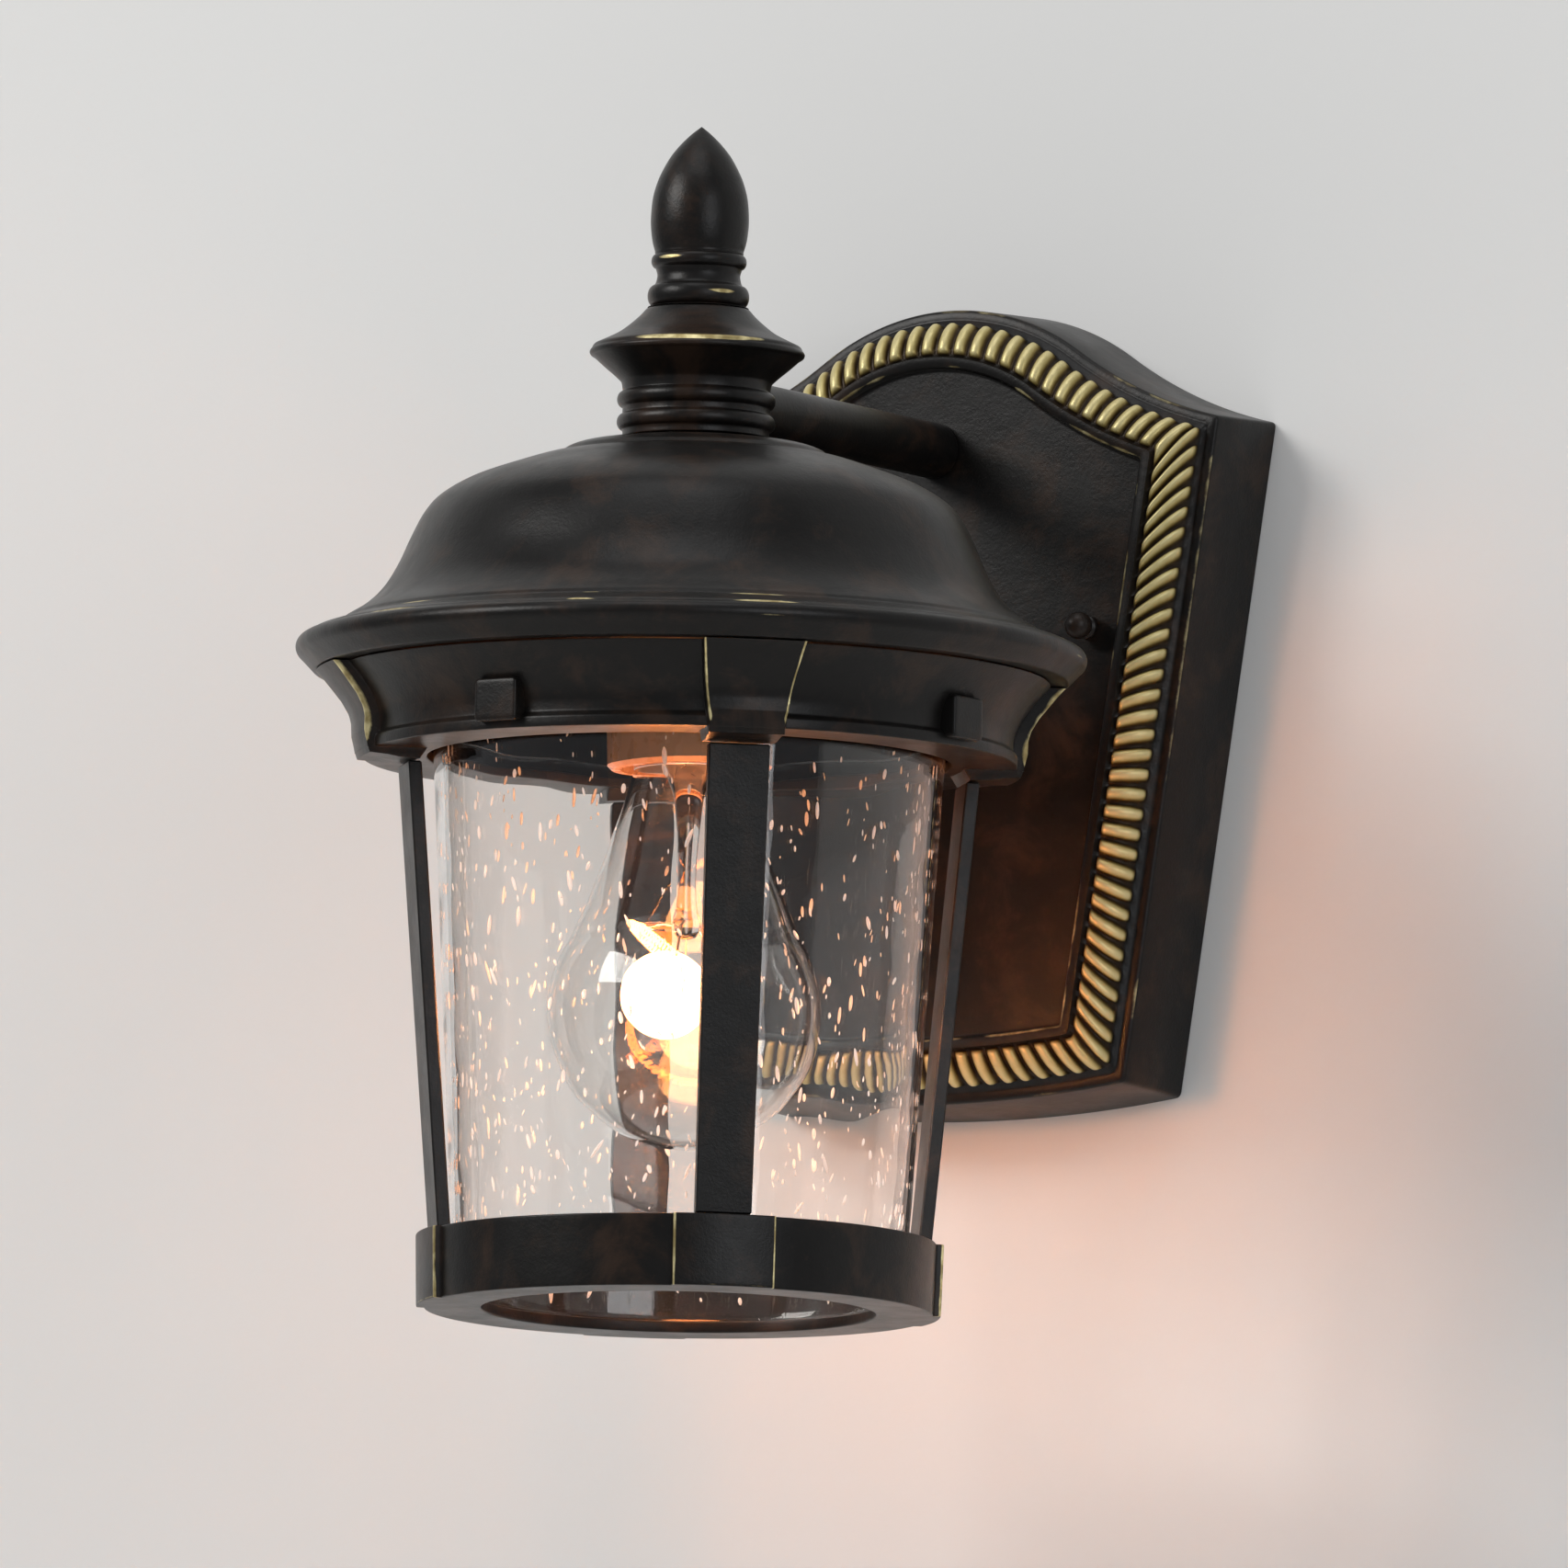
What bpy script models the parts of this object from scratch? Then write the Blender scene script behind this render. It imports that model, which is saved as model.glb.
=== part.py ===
"""Outdoor wall lantern: arched back plate, one arm, turned hub and roof, a caged seeded-glass shade
and a screw-in bulb. Metres, +Z up, +Y into the wall. The origin is the middle of the crossbar's back
face, which lies on the wall. Turned pieces are parented to an empty at the foot of the lantern's axis,
so their heights are counted from the bottom of the bottom ring."""
from math import asin, atan2, cos, hypot, pi, radians, sin, sqrt

import bmesh
import bpy
from mathutils import Matrix, Vector

mm = 0.001
gap = 0.3 * mm                       # between two pieces that rest on each other

# Heights are counted from the lantern's bottom, and each one is stacked on the piece below it.

# Glass shade
glass_foot_radius = 49.5 * mm
glass_top_radius = 56.5 * mm
glass_wall = 2.6 * mm
glass_above_collar = 5.6 * mm        # how far the shade stands up into the collar

# Heights of the cage
ring_height = 15.9 * mm
ring_floor = 2.5 * mm                # ledge that the shade stands on
post_length = 102.5 * mm
band_drop = 2.4 * mm                 # how far the collar's bands reach below it
collar_lip_height = 2.6 * mm
cove_height = 15.7 * mm
glass_foot = ring_floor + gap
post_low = ring_height + gap
post_high = post_low + post_length
band_foot = post_high + gap
collar_foot = band_foot + band_drop
cove_foot = collar_foot + collar_lip_height
lip_foot = cove_foot + cove_height + gap
glass_top = collar_foot + glass_above_collar


def glass_radius_at(height):
    """Outer radius of the tapered shade."""
    rise = (height - glass_foot) / (glass_top - glass_foot)
    return glass_foot_radius + (glass_top_radius - glass_foot_radius) * rise


# Bottom ring
ring_wall = 5.0 * mm
ring_play = 1.16 * mm                # between the shade and the ring's upper edge
ring_draft = 0.4 * mm
ledge_width = 3.6 * mm               # of the ledge inside the shade's inner face
ring_radius = glass_radius_at(ring_height) + ring_play + ring_wall
ring_foot_radius = ring_radius - ring_draft
ring_opening = glass_foot_radius - glass_wall - ledge_width
pad_out = 1.7 * mm
pad_width = 22.7 * mm

# Collar under the roof
collar_play = 1.4 * mm               # between the shade and the collar's floor
collar_floor = 2.4 * mm
collar_wall = 2.6 * mm
cove_foot_out = 14.6 * mm            # foot of the hollow side, outside the shade
cove_width = 8.1 * mm
cove_plinth = 3.0 * mm               # upright part at the foot of the cove
cove_power = 1.6                     # how late the cove flares
cove_rises = [1, 0.84, 0.68, 0.52, 0.36, 0.18, 0]    # heights of its rows, as shares of the flare
cove_foot_radius = glass_top_radius + cove_foot_out
cove_top_radius = cove_foot_radius + cove_width
collar_lip_out = 1.0 * mm
collar_lip_radius = cove_foot_radius + collar_lip_out
band_out = 3.3 * mm                  # how far the four bands stand proud of the cove
band_top_width = 23 * mm
band_foot_width = 17.2 * mm
boss_width = 11 * mm
boss_height = 9.4 * mm
boss_out = 3.6 * mm                  # front face, outside the foot of the cove
boss_drop = 1.1 * mm                 # foot of a boss below the foot of the cove

# Posts
cage_turn = radians(40)              # first post, turned from -Y towards +X
quarter = radians(90)                # between posts, and between bosses
post_thick = 3.0 * mm
post_top_width = 13.6 * mm
post_foot_width = 12.4 * mm
post_top_set_back = 7.4 * mm         # outer face inside the foot of the cove
post_foot_set_back = 1.3 * mm        # outer face inside the bottom ring's side
post_top_radius = cove_foot_radius - post_top_set_back
post_foot_radius = ring_radius - post_foot_set_back
band_foot_inner = post_top_radius - post_thick - 0.7 * mm

# Roof
roof_height = 52.5 * mm              # lip's foot to the flat top
roof_wall = 2.2 * mm
lip_overhang = 7.8 * mm              # lip outside the cove's top
lip_radius = cove_top_radius + lip_overhang
lip_height = lip_foot + 5.0 * mm
lip_foot_radius = lip_radius - 4.1 * mm
crease_radius = lip_radius - 10.0 * mm
crease_height = lip_height + 6.0 * mm
roof_top = lip_foot + roof_height
dome_shape = [(0.110, 0.977), (0.256, 0.912), (0.441, 0.823), (0.573, 0.723), (0.642, 0.622), (0.699, 0.479),
              (0.752, 0.326), (0.819, 0.184), (0.900, 0.080)]    # share of the way out, share of the rise

# Screws that hold the cage to the roof, and the roof's lugs that take them
cage_screw_radius = 1.7 * mm
cage_screw_head = 2.8 * mm
cage_screw_head_height = 2.0 * mm
cage_screw_clearance = 0.4 * mm
cage_screw_place = cove_foot_radius - 3.1 * mm
cage_screw_recess = 1.2 * mm         # of a screw's head inside the foot of its band
cage_screw_seat = band_foot + cage_screw_recess + cage_screw_head_height
lug_radius = 4.0 * mm
lug_cover = 2.6 * mm                 # of metal above a cage screw's tip
lug_top = crease_height + 0.7 * mm
cage_screw_length = lug_top - lug_cover - gap - cage_screw_seat

# Threaded tube down the middle and the roof's nut
tube_radius = 4.8 * mm
tube_bore_radius = 3.4 * mm
tube_rise = 6.5 * mm                 # above the roof
tube_drop = 32.0 * mm                # below the roof's top
tube_foot = roof_top - tube_drop
tube_top = roof_top + tube_rise
washer_thick = 1.0 * mm
roof_washer_radius = tube_radius + 5.2 * mm
roof_nut_flats = 2 * tube_radius + 5.4 * mm
roof_nut_height = 4.5 * mm

# Hub: neck with two beads, skirt and cone
hub_waist_radius = 16.4 * mm
bead_out = 1.0 * mm
bead_half = 1.6 * mm                 # half the height of a bead
hub_bead_radius = hub_waist_radius + bead_out
hub_foot_radius = hub_waist_radius - 0.2 * mm
hub_foot = roof_top + gap + 0.1 * mm
hub_low_bead = hub_foot + 3.3 * mm
hub_high_bead = hub_foot + 8.3 * mm
hub_neck_top = hub_foot + 12.0 * mm
skirt_height = hub_foot + 18.5 * mm
skirt_radius = 23.7 * mm
skirt_rim = 1.5 * mm                 # height of the skirt's rounded edge
skirt_top = skirt_height + 10.0 * mm
skirt_top_radius = 11.4 * mm
step_radius = hub_foot_radius + 8.3 * mm    # flat step of the roof round the hub
cone_shape = [(0.236, 0.70), (0.455, 0.48), (0.830, 0.25)]
underside_shape = [(0.636, 0.643), (0.273, 0.296)]

# Arm, from the hub to the plate
arm_radius = 6.2 * mm
arm_end_radius = arm_radius - 1.4 * mm      # threaded end through the plate
arm_bore_radius = arm_end_radius - 1.1 * mm
arm_height = hub_foot + 9.1 * mm
arm_end_length = 9 * mm              # behind the panel's front face
locknut_flats = 2 * arm_end_radius + 4.4 * mm
locknut_height = 3.0 * mm
washer_radius = arm_end_radius + 3.7 * mm
hub_chamber_radius = tube_radius + 0.8 * mm
hub_chamber_top = arm_height + arm_radius + 1.0 * mm

# Finial, stacked on the hub
finial_base = skirt_top + gap
finial_low_bead_radius = 11.2 * mm
finial_low_bead = skirt_top + 2.7 * mm
finial_low_bead_half = 2.5 * mm
finial_waist_radius = 9.1 * mm
finial_waist = skirt_top + 7.0 * mm
finial_high_bead_radius = 10.5 * mm
finial_high_bead = skirt_top + 10.5 * mm
finial_high_bead_half = 1.6 * mm
finial_crease_radius = 9.8 * mm
finial_crease = skirt_top + 12.5 * mm
acorn_radius = 10.8 * mm
acorn_belly = finial_crease + 7.6 * mm
acorn_point = 20.5 * mm              # belly to tip
finial_tip = acorn_belly + acorn_point
acorn_shape = [(0.174, 0.927), (0.435, 0.79), (0.629, 0.659), (0.77, 0.522), (0.88, 0.39), (0.967, 0.215)]
acorn_foot_shape = [(0.83, 0.54), (0.22, 0.145)]
finial_stud_radius = 2.4 * mm
finial_stud_depth = 8.0 * mm         # into the hub
finial_stud_rise = 8.0 * mm          # into the finial

# Back plate, its heights counted from the crossbar
arm_above_bar = 40.8 * mm
bar_height = arm_height - arm_above_bar
plate_rise = 72.9 * mm               # bar to the top of the arch
plate_drop = 100.6 * mm              # bar to the bottom corners
plate_top = bar_height + plate_rise
plate_foot_height = bar_height - plate_drop
plate_foot_half = 47.6 * mm          # half width at the bottom corners
plate_foot_sag = 3.4 * mm            # how far the curved bottom edge hangs below the corners
plate_crown_radius = 56 * mm         # convex middle of the arch
plate_ogee_radius = 104 * mm         # hollow that runs out to the shoulder
plate_ogee_slope = radians(35)       # slope where crown and hollow meet
plate_shoulder_slope = radians(13)   # slope of the hollow at the shoulder
plate_depth = 23.7 * mm              # wall to the flat rim
plate_draft = 1.2 * mm               # the back edge is this much larger all round
plate_wall = 2.5 * mm
plate_edge = 0.6 * mm                # small round on the rim's outer edge
rim_width = 2.4 * mm
band_width = 9.0 * mm                # quarter-round band that carries the fluting
band_rise = 8.0 * mm
fillet_width = 2.4 * mm
panel_drop = 2.0 * mm                # panel behind the fillet
panel_edge = 0.3 * mm                # width of the step from fillet to panel
plate_front = plate_depth + band_rise
panel_front = plate_front - panel_drop
roof_clearance = 16.8 * mm           # between the plate and the roof's lip
reach = plate_front + roof_clearance + lip_radius    # wall to the lantern's axis

# Crossbar, studs and cap nuts
stud_edge = 7.86 * mm                # from the panel's edge to the middle of a stud
stud_radius = 1.75 * mm
stud_clearance = 0.3 * mm
stud_nut_flats = 2 * stud_radius + 3.8 * mm
stud_nut_height = 3.0 * mm
bar_overhang = 12.3 * mm             # of the bar beyond each stud
bar_width = 18 * mm
bar_thick = 2.0 * mm
slot_length = 14 * mm
slot_width = 4.6 * mm
slot_to_stud = 15.7 * mm             # middle of a box screw slot to the stud beside it
ground_place = 11 * mm
ground_screw_radius = 2.0 * mm
ground_head_radius = 4.2 * mm
ground_head_height = 2.4 * mm
cap_ball_radius = 3.1 * mm
cap_neck_radius = 2.7 * mm
cap_neck_height = 1.6 * mm

# Bulb and socket, hung from the tube
bulb_radius = 30.2 * mm
bulb_length = 110 * mm
bulb_wall = 0.9 * mm
bulb_neck_radius = 12.0 * mm
bulb_base_radius = 13.1 * mm
bulb_base_wall = 0.8 * mm
bulb_base_length = 22 * mm
bulb_tip_length = 4.4 * mm
flare_shape = [(0.27, 0.62), (0.63, 0.30)]
socket_play = 2.1 * mm               # round the bulb's base, for the shell and its clearance
socket_wall = 3.0 * mm
socket_floor = 12.0 * mm             # above the bulb's tip
socket_length = 38.4 * mm
socket_bore_radius = bulb_base_radius + socket_play
socket_radius = socket_bore_radius + socket_wall
socket_top = tube_foot - 2.5 * mm
socket_rim = socket_top - socket_length
shell_wall = 0.7 * mm
socket_cap_height = 7.0 * mm
bulb_top = socket_top - socket_floor
bulb_bottom = bulb_top - bulb_length
base_top = bulb_top - bulb_tip_length
base_foot = base_top - bulb_base_length
filament_above_bottom = 34 * mm
filament_radius = 12 * mm
filament_wire = 0.7 * mm

# Leads
lead_radius = 0.9 * mm
lead_spread = 1.1 * mm               # from the middle of the bore to each lead
lead_tail = 26 * mm                  # hanging part inside the plate

parts_name = "outdoor_wall_lantern"
large_steps = 40                     # sides of the big turned pieces
medium_steps = 28
small_steps = 16


def clear_scene():
    for item in list(bpy.data.objects):
        bpy.data.objects.remove(item, do_unlink=True)


def make_collection(name):
    group = bpy.data.collections.get(name) or bpy.data.collections.new(name)
    if name not in bpy.context.scene.collection.children:
        bpy.context.scene.collection.children.link(group)
    return group


clear_scene()
parts = make_collection(parts_name)
cutters = make_collection("cutters")


def make_material(name, color, roughness, metallic, alpha=1.0, transmission=0.0):
    material = bpy.data.materials.new(name)
    material.use_nodes = True
    shader = material.node_tree.nodes["Principled BSDF"]
    shader.inputs["Base Color"].default_value = (*color, 1.0)
    shader.inputs["Roughness"].default_value = roughness
    shader.inputs["Metallic"].default_value = metallic
    shader.inputs["Alpha"].default_value = alpha
    shader.inputs["Transmission Weight"].default_value = transmission
    material.diffuse_color = (*color, alpha)
    return material


bronze = make_material("dark_bronze", (0.018, 0.016, 0.015), 0.42, 0.6)
zinc = make_material("zinc_steel", (0.55, 0.55, 0.56), 0.35, 1.0)
brass = make_material("brass", (0.72, 0.55, 0.27), 0.3, 1.0)
green_zinc = make_material("green_zinc", (0.08, 0.32, 0.12), 0.4, 0.8)
porcelain = make_material("porcelain", (0.85, 0.84, 0.8), 0.25, 0.0)
clear_glass = make_material("clear_glass", (1.0, 1.0, 1.0), 0.03, 0.0, 0.3, 1.0)
black_glass = make_material("black_glass", (0.02, 0.02, 0.025), 0.2, 0.0)
aluminium = make_material("aluminium", (0.8, 0.8, 0.8), 0.32, 1.0)
tungsten = make_material("tungsten", (1.0, 0.62, 0.25), 0.5, 0.2)
black_sleeve = make_material("black_sleeve", (0.02, 0.02, 0.02), 0.5, 0.0)
white_sleeve = make_material("white_sleeve", (0.8, 0.79, 0.75), 0.5, 0.0)


def make_empty(name, location):
    empty = bpy.data.objects.new(name, None)
    empty.empty_display_size = 0.02
    empty.location = location
    parts.objects.link(empty)
    return empty


lantern_axis = make_empty("lantern_axis", (0, -reach, -bar_height))
finial_axis = make_empty("finial_axis", (0, 0, finial_base))
finial_axis.parent = lantern_axis
bulb_axis = make_empty("bulb_axis", (0, 0, bulb_bottom))
bulb_axis.parent = lantern_axis


def finish(obj, material=None, parent=None, smooth_angle=radians(35)):
    """Puts an object among the parts with its material and its parent."""
    parts.objects.link(obj)
    if material:
        obj.data.materials.clear()
        obj.data.materials.append(material)
    if parent:
        obj.parent = parent
    if smooth_angle and obj.type == "MESH":
        obj.data.shade_smooth()
        obj.data.set_sharp_from_angle(angle=smooth_angle)
    return obj


def as_cutter(obj, parent=None):
    obj.display_type = "WIRE"
    obj.hide_render = True
    cutters.objects.link(obj)
    if parent:
        obj.parent = parent
    return obj


def screw_object(name, profile, steps, closed):
    """A turned piece: the profile is (radius, height) down the outer side, top to bottom."""
    mesh = bpy.data.meshes.new(name)
    points = [(radius, 0.0, height) for radius, height in profile]
    edges = [(k, k + 1) for k in range(len(points) - 1)]
    if closed:
        edges.append((len(points) - 1, 0))
    mesh.from_pydata(points, edges, [])
    obj = bpy.data.objects.new(name, mesh)
    turn = obj.modifiers.new("turn", "SCREW")
    turn.axis = "Z"
    turn.angle = 2 * pi
    turn.steps = steps
    turn.render_steps = steps
    turn.use_merge_vertices = True
    turn.merge_threshold = 1e-5
    turn.use_smooth_shade = True
    return obj


def turned(name, profile, material, parent=None, steps=medium_steps, closed=True):
    obj = screw_object(name, profile, steps, closed)
    return finish(obj, material, parent, smooth_angle=None)


def mesh_object(name, bm):
    mesh = bpy.data.meshes.new(name)
    bm.to_mesh(mesh)
    bm.free()
    return bpy.data.objects.new(name, mesh)


def cylinder(name, radius, length, segments=24):
    """A cylinder standing on z = 0."""
    bm = bmesh.new()
    bmesh.ops.create_cone(bm, cap_ends=True, segments=segments, radius1=radius, radius2=radius, depth=length)
    bmesh.ops.translate(bm, verts=bm.verts, vec=(0, 0, length / 2))
    return mesh_object(name, bm)


def block(name, size):
    """A box centred on its origin."""
    bm = bmesh.new()
    bmesh.ops.create_cube(bm, size=1.0)
    bmesh.ops.scale(bm, verts=bm.verts, vec=size)
    return mesh_object(name, bm)


def boolean(obj, operand, operation="DIFFERENCE"):
    cut = obj.modifiers.new(operand.name, "BOOLEAN")
    cut.operation = operation
    cut.solver = "EXACT"
    cut.object = operand
    return cut


def arc(center, radius, start, end, count):
    """Points on an arc of an ellipse or circle; the angle counts from +radius towards +height."""
    rx, rz = radius if isinstance(radius, tuple) else (radius, radius)
    angles = [start + (end - start) * k / count for k in range(count + 1)]
    return [(center[0] + rx * cos(a), center[1] + rz * sin(a)) for a in angles]


def along(start, end, shape):
    """Points between two ends, each given as its share of the way in radius and in height."""
    return [(start[0] + (end[0] - start[0]) * out, start[1] + (end[1] - start[1]) * up) for out, up in shape]


def inner_offset(outline, wall):
    """The same outline moved inwards by the wall, each point along the mean of its neighbours' normals."""
    out = []
    last = len(outline) - 1
    for k, (r, z) in enumerate(outline):
        r0, z0 = outline[max(k - 1, 0)]
        r1, z1 = outline[min(k + 1, last)]
        length = hypot(r1 - r0, z1 - z0)
        out.append((r + (z1 - z0) / length * wall, z - (r1 - r0) / length * wall))
    return out


crown_centre = Vector((0, plate_top - plate_crown_radius))
ogee_centre = crown_centre + (plate_crown_radius + plate_ogee_radius) * Vector(
    (sin(plate_ogee_slope), cos(plate_ogee_slope)))
shoulder = ogee_centre - plate_ogee_radius * Vector((sin(plate_shoulder_slope), cos(plate_shoulder_slope)))
foot_corner = Vector((plate_foot_half, plate_foot_height))
foot_radius = (plate_foot_half ** 2 + plate_foot_sag ** 2) / (2 * plate_foot_sag)
foot_centre = Vector((0, plate_foot_height - plate_foot_sag + foot_radius))
side_direction = (foot_corner - shoulder).normalized()
side_normal = Vector((side_direction.y, -side_direction.x))


def plate_half_width(height, inset):
    """Half width of the plate's straight sides, moved inwards by inset, at a height."""
    corner = shoulder + side_normal * inset
    return corner.x + side_direction.x * (height - corner.y) / side_direction.y


stud_place = plate_half_width(bar_height, rim_width + band_width + fillet_width + panel_edge) - stud_edge
bar_length = 2 * (stud_place + bar_overhang)
slot_place = stud_place - slot_to_stud


def line_meets_circle(origin, direction, centre, radius, near):
    """The crossing of a line and a circle that lies nearest to a given point."""
    offset = origin - centre
    half = offset.dot(direction)
    root = sqrt(max(half ** 2 - offset.length_squared + radius ** 2, 0.0))
    crossings = [origin + direction * (-half + sign * root) for sign in (1, -1)]
    return min(crossings, key=lambda point: (point - near).length)


def plate_outline(inset, crown_steps=9, ogee_steps=7, foot_steps=5):
    """Right half of the plate's outline, moved inwards by inset, from the arch's top to the foot's middle."""
    inward = side_normal * inset
    side = shoulder + inward
    corner = line_meets_circle(side, side_direction, ogee_centre, plate_ogee_radius + inset, shoulder)
    foot = line_meets_circle(side, side_direction, foot_centre, foot_radius - inset, foot_corner)
    crown = [crown_centre + (plate_crown_radius - inset) * Vector((sin(a), cos(a)))
             for a in (plate_ogee_slope * k / crown_steps for k in range(crown_steps))]
    to_corner = ogee_centre - corner
    end_slope = atan2(to_corner.x, to_corner.y)
    ogee = [ogee_centre - (plate_ogee_radius + inset) * Vector((sin(a), cos(a)))
            for a in (plate_ogee_slope + (end_slope - plate_ogee_slope) * k / ogee_steps
                      for k in range(ogee_steps + 1))]
    foot_angle = asin(foot.x / (foot_radius - inset))
    curve = [foot_centre - (foot_radius - inset) * Vector((-sin(a), cos(a)))
             for a in (foot_angle * (1 - k / foot_steps) for k in range(foot_steps + 1))]
    return crown + ogee + curve


def plate_sections():
    """(inset, distance from the wall) of each ring, from the back edge over the front to the inside."""
    rings = [(-plate_draft, 0.0), (0.0, plate_depth - plate_edge), (plate_edge, plate_depth),
             (rim_width, plate_depth)]
    steps = 5
    for k in range(1, steps + 1):
        a = pi / 2 * k / steps
        rings.append((rim_width + band_width * (1 - cos(a)), plate_depth + band_rise * sin(a)))
    inner = rim_width + band_width + fillet_width
    rings += [(inner, plate_front), (inner + panel_edge, panel_front)]
    return rings


def inside_sections():
    """The hollow behind: from the panel's back out to the rim of the wall side."""
    return [(rim_width + band_width, panel_front - plate_wall), (rim_width + 2 * plate_wall, plate_depth),
            (2 * plate_wall, plate_depth - plate_wall), (plate_wall, plate_depth - 3 * plate_wall),
            (plate_wall - plate_draft, 0.0)]


def make_backplate():
    bm = bmesh.new()
    loops = []
    for inset, away in plate_sections() + inside_sections():
        loops.append([bm.verts.new((p.x, -away, p.y - bar_height)) for p in plate_outline(inset)])
    front_count = len(plate_sections())
    for number in range(len(loops) - 1):
        if number == front_count - 1:
            continue
        for k in range(len(loops[0]) - 1):
            a, b = loops[number], loops[number + 1]
            bm.faces.new((a[k], b[k], b[k + 1], a[k + 1]))
    bm.faces.new(loops[front_count - 1])
    bm.faces.new(list(reversed(loops[front_count])))
    first, last = loops[0], loops[-1]
    for k in range(len(first) - 1):
        bm.faces.new((last[k], first[k], first[k + 1], last[k + 1]))
    bmesh.ops.recalc_face_normals(bm, faces=bm.faces)
    plate = mesh_object("backplate", bm)
    mirror = plate.modifiers.new("other_half", "MIRROR")
    mirror.use_axis = (True, False, False)
    mirror.merge_threshold = 1e-5
    finish(plate, bronze)
    through = plate_front + 10 * mm
    hole = as_cutter(cylinder("plate_arm_hole", arm_end_radius + gap, through, 32))
    hole.location = (0, 0, arm_height - bar_height)
    hole.rotation_euler = (radians(90), 0, 0)
    boolean(plate, hole)
    for side, label in ((-1, "left"), (1, "right")):
        hole = as_cutter(cylinder("plate_stud_hole_" + label, stud_radius + stud_clearance, through, 20))
        hole.location = (side * stud_place, 0, 0)
        hole.rotation_euler = (radians(90), 0, 0)
        boolean(plate, hole)
    return plate


def toward_room(obj, x=0.0, z=0.0):
    """Turns a piece so that its own +Z points away from the wall."""
    obj.rotation_euler = (radians(90), 0, 0)
    obj.location = (x, 0, z)
    return obj


def hex_nut(name, flats, height, bore, material, start, segments=24):
    """A six-sided nut with a round bore, standing from start upwards."""
    nut = cylinder(name, flats / 2 / cos(radians(30)), height, 6)
    nut.data.transform(Matrix.Translation((0, 0, start)))
    finish(nut, material, smooth_angle=radians(20))
    hole = as_cutter(cylinder(name + "_bore", bore, height * 3, segments))
    hole.data.transform(Matrix.Translation((0, 0, start - height)))
    boolean(nut, hole)
    return nut, hole


def make_crossbar():
    bar = block("crossbar", (bar_length, bar_thick, bar_width))
    bar.location = (0, -bar_thick / 2, 0)
    bevel = bar.modifiers.new("rounded_ends", "BEVEL")
    bevel.width = 0.5 * mm
    bevel.segments = 1
    bevel.limit_method = "ANGLE"
    finish(bar, zinc, smooth_angle=None)
    for side, label in ((-1, "left"), (1, "right")):
        stud_hole_radius = stud_radius + stud_clearance / 2
        hole = as_cutter(cylinder("bar_stud_hole_" + label, stud_hole_radius, 4 * bar_thick, 20))
        toward_room(hole, side * stud_place)
        hole.location.y = bar_thick
        boolean(bar, hole)
        slot = as_cutter(block("bar_slot_" + label, (slot_length, 4 * bar_thick, slot_width)))
        slot.location = (side * slot_place, -bar_thick / 2, 0)
        boolean(bar, slot)
    hole = as_cutter(cylinder("bar_ground_hole", ground_screw_radius + stud_clearance / 2, 4 * bar_thick, 20))
    toward_room(hole, ground_place)
    hole.location.y = bar_thick
    boolean(bar, hole)
    return bar


def screw_profile(head_radius, head_height, shank_radius, shank_length):
    """Head up, shank down, about the head's seat at zero height."""
    return [(0, head_height), (head_radius * 0.7, head_height), (head_radius, head_height * 0.55),
            (head_radius, 0), (shank_radius, 0), (shank_radius, -shank_length), (0, -shank_length)]


def make_ground_screw():
    profile = screw_profile(ground_head_radius, ground_head_height, ground_screw_radius, bar_thick + gap)
    screw = turned("ground_screw", profile, green_zinc, steps=small_steps, closed=False)
    toward_room(screw, ground_place)
    screw.location.y = -bar_thick - gap
    return screw


def make_stud(side, label):
    end = panel_front + cap_neck_height + cap_ball_radius * 0.6
    profile = [(0, end), (stud_radius * 0.75, end), (stud_radius, end - 0.6 * mm), (stud_radius, 0), (0, 0)]
    stud = turned("mounting_stud_" + label, profile, zinc, steps=small_steps, closed=False)
    toward_room(stud, side * stud_place)
    bore_radius = stud_radius + stud_clearance / 2
    nut, bore = hex_nut("stud_nut_" + label, stud_nut_flats, stud_nut_height, bore_radius, zinc,
                        bar_thick + gap, 20)
    toward_room(nut, side * stud_place)
    toward_room(bore, side * stud_place)


def make_cap_nut(side, label):
    """A ball on a short neck, bored from the plate side for the stud."""
    seat = panel_front + gap
    centre = cap_neck_height + cap_ball_radius * 0.75
    bore = stud_radius + stud_clearance / 2
    bore_end = cap_neck_height + cap_ball_radius * 0.6 + gap
    start = -asin((centre - cap_neck_height) / cap_ball_radius)
    ball = arc((0, centre), cap_ball_radius, pi / 2, start, 7)
    neck = [(cap_neck_radius, cap_neck_height), (cap_neck_radius, 0)]
    profile = [(0, ball[0][1])] + ball[1:] + neck + [(bore, 0), (bore, bore_end), (0, bore_end)]
    nut = turned("cap_nut_" + label, profile, bronze, steps=small_steps, closed=False)
    nut.rotation_euler = (radians(90), 0, 0)
    nut.location = (side * stud_place, -seat, 0)
    return nut


def make_washer(name, bore, radius, top, parent=None):
    profile = [(bore, top), (radius, top), (radius, top - washer_thick), (bore, top - washer_thick)]
    return turned(name, profile, zinc, parent, steps=small_steps)


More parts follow.
